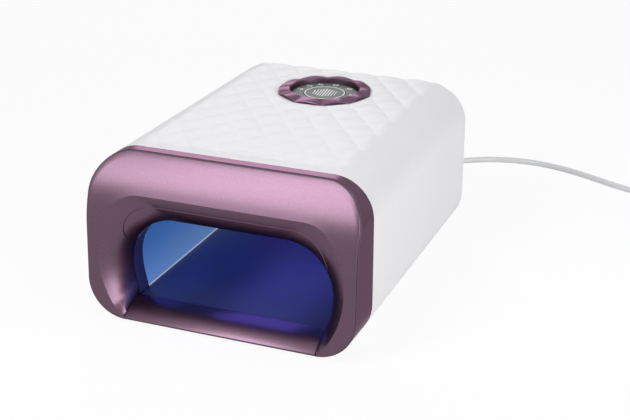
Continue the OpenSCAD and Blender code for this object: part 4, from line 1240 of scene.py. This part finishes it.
ring_rows = len(ring_section(0))
bm = shaped_grid(ring_columns, ring_rows, ring_place)
second_finish(bm, ring_columns, bore_row, ring_rows)
close_up(bm)
make_piece("lobed_panel_ring", bm, [mauve_lacquer, shade_and_bare_black], "housing", ["panel_ring"], 24)

# Panel disc: a grey printed disc of polycarbonate, laid on the ring's ledge, with a round opening
# for the button.
disc_out = 25.9
button_r = 16.0
button_gap = 0.35
disc_top = z_top - 1.0
disc_t = 2.0
disc_round = 0.2

# Polycarbonate film, screen printed grey: smooth and half glossy with a barely cloudy print.
panel_grey = moulded_plastic("polycarbonate film, printed grey", "#505856", "#4B5351",
                             roughness=0.55, grain=0.5, depth=0.003, cloud=12.0, specular=0.3)
disc_in = button_r + button_gap
bm = turned(
    [(disc_in, -disc_t), (disc_out, -disc_t), (disc_out, -disc_round),
     (disc_out - disc_round, 0), (disc_in + disc_round, 0), (disc_in, -disc_round)],
    96, True)
bmesh.ops.translate(bm, verts=bm.verts, vec=(0, panel_y * MM, disc_top * MM))
make_piece("printed_disc", bm, [panel_grey], "housing", ["panel_disc"])

# Start button: the round cap in the middle of the disc. A flange under it stops against the disc,
# and its stem stands over the push switch.
button_top = 0.1
flange_top = -disc_t - 0.3
flange_t = 1.5
flange_foot = flange_top - flange_t
flange_out = button_r + 1.6
stem_r = 2.5
stem_foot = -8.4
bm = turned(
    [(0, button_top - 0.06), (button_r - 4, button_top - 0.03), (button_r - disc_round, button_top),
     (button_r, button_top - disc_round), (button_r, flange_top), (flange_out, flange_top),
     (flange_out, flange_foot), (stem_r, flange_foot), (stem_r, stem_foot), (0, stem_foot)],
    96)
bmesh.ops.translate(bm, verts=bm.verts, vec=(0, panel_y * MM, disc_top * MM))
make_piece("start_cap", bm, [panel_grey], "start_button", ["start_button"])

# Print: white ink, screen printed a few hundredths of a millimetre thick. A circle and slanted
# strokes lie on the button, and plain numbers stand round it on the disc.
ink_t = 0.05
circle_line = 0.8
stroke_w = 0.95
stroke_thin = 0.6
stroke_gap = 2.1
stroke_count = 9
stroke_long = 18.5
stroke_short = 10.0
stroke_slant = math.radians(7)
print_r = 21.6
print_size = 5.0
print_bold = 0.07
print_numbers = [("10", 175), ("20", 146), ("30", 121), ("60", 88), ("90", 49), ("99", 5)]

# White screen ink: flat and opaque, with a faint speckle from the mesh of the screen.
white_ink = moulded_plastic("ink, screen printed white", "#F2F2F2", "#E6E7E7",
                            roughness=0.55, grain=0.3, depth=0.004, cloud=0.8)

circle_out = button_r - 0.25
circle_in = circle_out - circle_line
bm = turned([(circle_in, 0), (circle_out, 0), (circle_out, ink_t), (circle_in, ink_t)], 96, True)
for i in range(stroke_count):
    off = i - (stroke_count - 1) / 2
    away = abs(off) / ((stroke_count - 1) / 2)
    half_wide = mix(stroke_w, stroke_thin, away) / 2
    half_long = mix(stroke_long, stroke_short, away ** 1.5) / 2
    stroke = bmesh.new()
    bmesh.ops.create_circle(stroke, cap_ends=True, segments=12, radius=half_wide * MM)
    for vert in stroke.verts:
        vert.co.y += math.copysign(half_long - half_wide, vert.co.y) * MM
    raise_faces(stroke, stroke.faces[:], ink_t)
    bmesh.ops.recalc_face_normals(stroke, faces=stroke.faces)
    aside = Matrix.Translation((off * stroke_gap * MM, 0, 0))
    add_copy(bm, stroke, Matrix.Rotation(stroke_slant, 4, "Z") @ aside)
    stroke.free()
bmesh.ops.translate(bm, verts=bm.verts, vec=(0, panel_y * MM, (disc_top + button_top) * MM))
make_piece("button_print", bm, [white_ink], "start_button")

bm = bmesh.new()
for number, angle in print_numbers:
    words = bpy.data.curves.new("number", "FONT")
    words.body = number
    words.size = print_size * MM
    words.align_x = "CENTER"
    words.align_y = "CENTER"
    words.extrude = ink_t / 2 * MM
    words.offset = print_bold * MM
    words.resolution_u = 3
    holder = bpy.data.objects.new("number", words)
    bpy.context.scene.collection.objects.link(holder)
    flat = bpy.data.meshes.new_from_object(holder.evaluated_get(bpy.context.evaluated_depsgraph_get()))
    a = math.radians(angle)
    place = Vector((print_r * math.cos(a), panel_y + print_r * math.sin(a), disc_top + ink_t / 2)) * MM
    flat.transform(Matrix.Translation(place))
    bm.from_mesh(flat)
    bpy.data.objects.remove(holder)
    bpy.data.meshes.remove(flat)
bmesh.ops.remove_doubles(bm, verts=bm.verts, dist=weld)
make_piece("disc_numbers", bm, [white_ink], "housing")

# Cord gland: a soft white sleeve in the rear panel. Flanges hold it on both sides of the panel, and
# its ribbed taper keeps the cord from kinking.
gland_low, gland_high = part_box("cord_gland")
gland_z = (gland_low.z + gland_high.z) / 2 / MM
gland_front = gland_low.y / MM
gland_end = gland_high.y / MM
gland_r = 5.0
flange_r = 7.0
panel_in = gland_front + 4.5
panel_t = 2.5
taper_start = 5.5
taper_end = gland_end - panel_in
taper_r = 4.5
tip_r = 3.4
rib_pitch = 3.2
rib_count = 6
rib_depth = 0.7
cord_d = 5.0

ribs = []
for i in range(rib_count):
    along = taper_start + 2.2 + rib_pitch * i
    radius = mix(taper_r, tip_r, (along - taper_start) / (taper_end - taper_start))
    ribs += [(radius, along), (radius - rib_depth, along + 0.35), (radius - rib_depth, along + 1.05),
             (radius - 0.06, along + 1.4)]
profile = [(0, -4.5), (gland_r, -4.5), (flange_r, -3.0), (flange_r, 0), (gland_r, 0), (gland_r, panel_t)]
profile += [(flange_r - 0.4, panel_t)] + arc(flange_r - 0.8, panel_t + 1.2, 0.8, 0, 90, 4)
profile += [(taper_r + 0.5, panel_t + 2.2), (taper_r, taper_start)] + ribs
profile += arc(tip_r - 0.5, taper_end - 0.5, 0.5, 0, 90, 4) + [(0, taper_end)]
bm = turned(profile, 40)
bmesh.ops.transform(bm, verts=bm.verts,
                    matrix=Matrix.Translation((0, panel_in * MM, gland_z * MM)) @ facing_rear)

# White PVC, moulded: soft, a little translucent to the eye, with a smooth waxy gloss.
white_pvc = moulded_plastic("PVC, moulded soft white", "#DCDCDE", "#D6D6D9",
                            roughness=0.4, grain=0.6, depth=0.004, cloud=20.0)
gland = make_piece("ribbed_gland", bm, [white_pvc], "housing", ["cord_gland"], 40)
dress("inner_mains_lead", white_pvc)

# Mains cord: round white PVC, 5 mm thick. It leaves the gland, sinks to the table, swings out to the
# right and is wound in a two-layer coil, spiralling in below and out again above.
cord_r = cord_d / 2
coil_middle = Vector((270, 196, 0))
coil_out = 37.5
coil_turns = 6.1944
coil_start = math.radians(70)
coil_step = cord_d + 0.6
coil_lift = 0.6
coil_z = cord_r + coil_lift
coil_head = Vector((math.sin(coil_start), -math.cos(coil_start), 0))
coil_entry = coil_middle + Vector((coil_out * math.cos(coil_start), coil_out * math.sin(coil_start), coil_z))
coil_first = coil_entry - (cord_d + 1) * coil_head
plug_x = coil_middle.x + coil_out
plug_y = coil_middle.y - 26
plug_z = 8.0
upper_z = coil_z + coil_step
lead_route = [
    (0, gland_end, gland_z), (0, gland_end + 14, gland_z - 0.6), (1, gland_end + 28, gland_z - 4.5),
    (3, gland_end + 42, gland_z - 11.5), (7, gland_end + 56, cord_r + 3.4),
    (13, gland_end + 70, cord_r + 0.3),
    (22, 234, cord_r), (33, 249, cord_r), (45, 262.5, cord_r), (59, 273.5, cord_r), (78, 284.5, cord_r),
    (99, 290.5, cord_r), (121, 291.5, cord_r), (145, 286.5, cord_r), (169, 277, cord_r),
    (192, 265.5, cord_r), (212, 257, cord_r),
]
route = [Vector(p) for p in lead_route]
route += [coil_first - 32 * coil_head - Vector((0, 0, coil_lift)),
          coil_first - 16 * coil_head - Vector((0, 0, coil_lift / 2)), coil_first]


def smooth_line(points, steps):
    """Points of a smooth line through a route's points."""
    ends = [2 * points[0] - points[1]] + points + [2 * points[-1] - points[-2]]
    line = []
    for a, b, c, d in zip(ends, ends[1:], ends[2:], ends[3:]):
        for t in (i / steps for i in range(steps)):
            line.append(0.5 * (2 * b + (c - a) * t + (2 * a - 5 * b + 4 * c - d) * t ** 2
                               + (3 * b - a - 3 * c + d) * t ** 3))
    return line + [points[-1]]


def coil_point(s):
    """Point of the coil after a number of turns."""
    a = coil_start - 2 * math.pi * s
    radius = coil_out - coil_step * min(s, coil_turns - s)
    layer = smooth_step(coil_turns / 2 - 0.25, coil_turns / 2 + 0.25, s)
    return coil_middle + Vector((radius * math.cos(a), radius * math.sin(a), coil_z + coil_step * layer))


coil_steps = round(coil_turns * 48)
coil = [coil_point(coil_turns * i / coil_steps) for i in range(coil_steps + 1)]
tail_route = [
    (plug_x, plug_y + 19.5, upper_z - 0.1), (plug_x, plug_y + 13, mix(upper_z, plug_z, 0.4)),
    (plug_x, plug_y + cord_d + 1, plug_z), (plug_x, plug_y, plug_z),
]
tail = [coil[-1]] + [Vector(p) for p in tail_route]
cord_line = smooth_line(route, 6) + coil + smooth_line(tail, 4)[1:]
cord_curve = bpy.data.curves.new("mains_cord", "CURVE")
cord_curve.dimensions = "3D"
cord_curve.bevel_depth = cord_r * MM
cord_curve.bevel_resolution = 5
cord_curve.use_fill_caps = True
spline = cord_curve.splines.new("POLY")
spline.points.add(len(cord_line) - 1)
for point, place in zip(spline.points, cord_line):
    point.co = (*(place * MM), 1.0)
spline.use_smooth = True
cord_curve.materials.append(white_pvc)
cord = bpy.data.objects.new("mains_cord", cord_curve)
bpy.context.scene.collection.objects.link(cord)
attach(cord, "housing")
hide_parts("cord_lead", "cord_coil")

# Cord tie: a thin black hook-and-loop strap, woven in nylon and drawn round the bundle of turns
# in one flat loop.
tie_t = 0.4
tie_round = 2.2
bm = boxed("cord_tie")
open_ends = [face for face in bm.faces if abs(face.normal.y) > 0.9]
bmesh.ops.delete(bm, geom=open_ends, context="FACES_ONLY")
long_edges = [edge for edge in bm.edges if abs(edge.verts[0].co.y - edge.verts[1].co.y) > tie_t * MM]
round_edges(bm, long_edges, tie_round, 6)
bmesh.ops.recalc_face_normals(bm, faces=bm.faces)
bmesh.ops.solidify(bm, geom=bm.faces[:], thickness=tie_t * MM)

# Nylon hook-and-loop tape: black and felt-like, with the small even pitch of its woven loops.
tie_tape, tree, shader, coordinates = start_material("nylon tape, woven black")
loops = add_node(tree, "ShaderNodeTexVoronoi", {"Vector": coordinates, "Scale": 1 / (0.6 * MM)})
tint = add_node(tree, "ShaderNodeMix", {
    "Factor": loops.outputs["Distance"],
    "A": hex_linear("#2E2E31"),
    "B": hex_linear("#161618"),
}, data_type="RGBA")
pile = add_node(tree, "ShaderNodeBump", {
    "Height": loops.outputs["Distance"],
    "Distance": 0.15 * MM,
}, invert=True)
set_inputs(tree, shader, {
    "Base Color": tint.outputs["Result"],
    "Roughness": 0.85,
    "Sheen Weight": 0.3,
    "Normal": pile.outputs["Normal"],
})
tie = make_piece("cord_strap", bm, [tie_tape], "housing", ["cord_tie"])

# Plug: a flat two-pin plug moulded on to the cord in white PVC, with a ribbed neck, rounded edges
# and two round pins of nickel-plated brass.
plug_low, plug_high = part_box("plug_body")
neck_l = 24.0
plug_l = 36.0
plug_half_t = (plug_high.z - plug_low.z) / 2 / MM
plug_mid_z = (plug_high.z + plug_low.z) / 2
plug_round = 2.4
plug_side = [(7, 0), (13, -9), (15.5, -27), (14, -plug_l)]
plug_outline = [(-x, y) for x, y in plug_side] + plug_side[::-1]
bm = bmesh.new()
flat = bm.faces.new([bm.verts.new((x * MM, y * MM, -plug_half_t * MM)) for x, y in reversed(plug_outline)])
raise_faces(bm, [flat], 2 * plug_half_t)
bmesh.ops.recalc_face_normals(bm, faces=bm.faces)
round_edges(bm, bm.edges[:], plug_round, 4)
bmesh.ops.translate(bm, verts=bm.verts, vec=(plug_x * MM, (plug_y - neck_l) * MM, plug_mid_z))
neck_tip = cord_r + 0.9
neck_root = 6.0
neck = [(0, 0), (neck_tip - 0.4, 0), (neck_tip, 0.4)]
for i in range(5):
    along = 3.0 + 3.6 * i
    radius = mix(neck_tip, neck_root, along / neck_l)
    neck += [(radius, along), (radius - 0.6, along + 0.4)]
    neck += [(radius - 0.55, along + 1.3), (radius + 0.15, along + 1.7)]
neck += [(neck_root, neck_l), (neck_root, neck_l + 4), (0, neck_l + 4)]
neck_bm = turned(neck, 32)
facing_front = Matrix.Rotation(math.pi / 2, 4, "X")
add_copy(bm, neck_bm, Matrix.Translation((plug_x * MM, plug_y * MM, plug_z * MM)) @ facing_front)
neck_bm.free()
plug = make_piece("moulded_plug", bm, [white_pvc], "housing", ["plug_body"], 40)

pin_low, pin_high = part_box("plug_pins")
pin_r = (pin_high.z - pin_low.z) / 2 / MM
pin_l = (pin_high.y - pin_low.y) / MM
pin_round = 1.2
pin_tip = arc(pin_r - pin_round, pin_l - pin_round, pin_round, 0, 90, 4)
pin = turned([(0, 0), (pin_r, 0), (pin_r, pin_l - pin_round)] + pin_tip + [(0, pin_l)], 32)
bm = bmesh.new()
for x in (pin_low.x + pin_r * MM, pin_high.x - pin_r * MM):
    add_copy(bm, pin, Matrix.Translation((x, pin_high.y, (pin_low.z + pin_high.z) / 2)) @ facing_front)
pin.free()

# Brass, turned and nickel plated: bright warm silver with fine rings from the lathe.
pin_metal, tree, shader, coordinates = start_material("brass, turned and nickel plated")
lathe = add_node(tree, "ShaderNodeTexWave", {
    "Vector": coordinates,
    "Scale": 1 / (3 * MM),
}, bands_direction="Y")
gloss = add_node(tree, "ShaderNodeMapRange", {
    "Value": lathe.outputs["Fac"],
    "To Min": 0.18,
    "To Max": 0.28,
})
set_inputs(tree, shader, {
    "Base Color": hex_linear("#C9C3B4"),
    "Metallic": 1.0,
    "Roughness": gloss.outputs["Result"],
})
pins = make_piece("round_pins", bm, [pin_metal], "housing", ["plug_pins"])
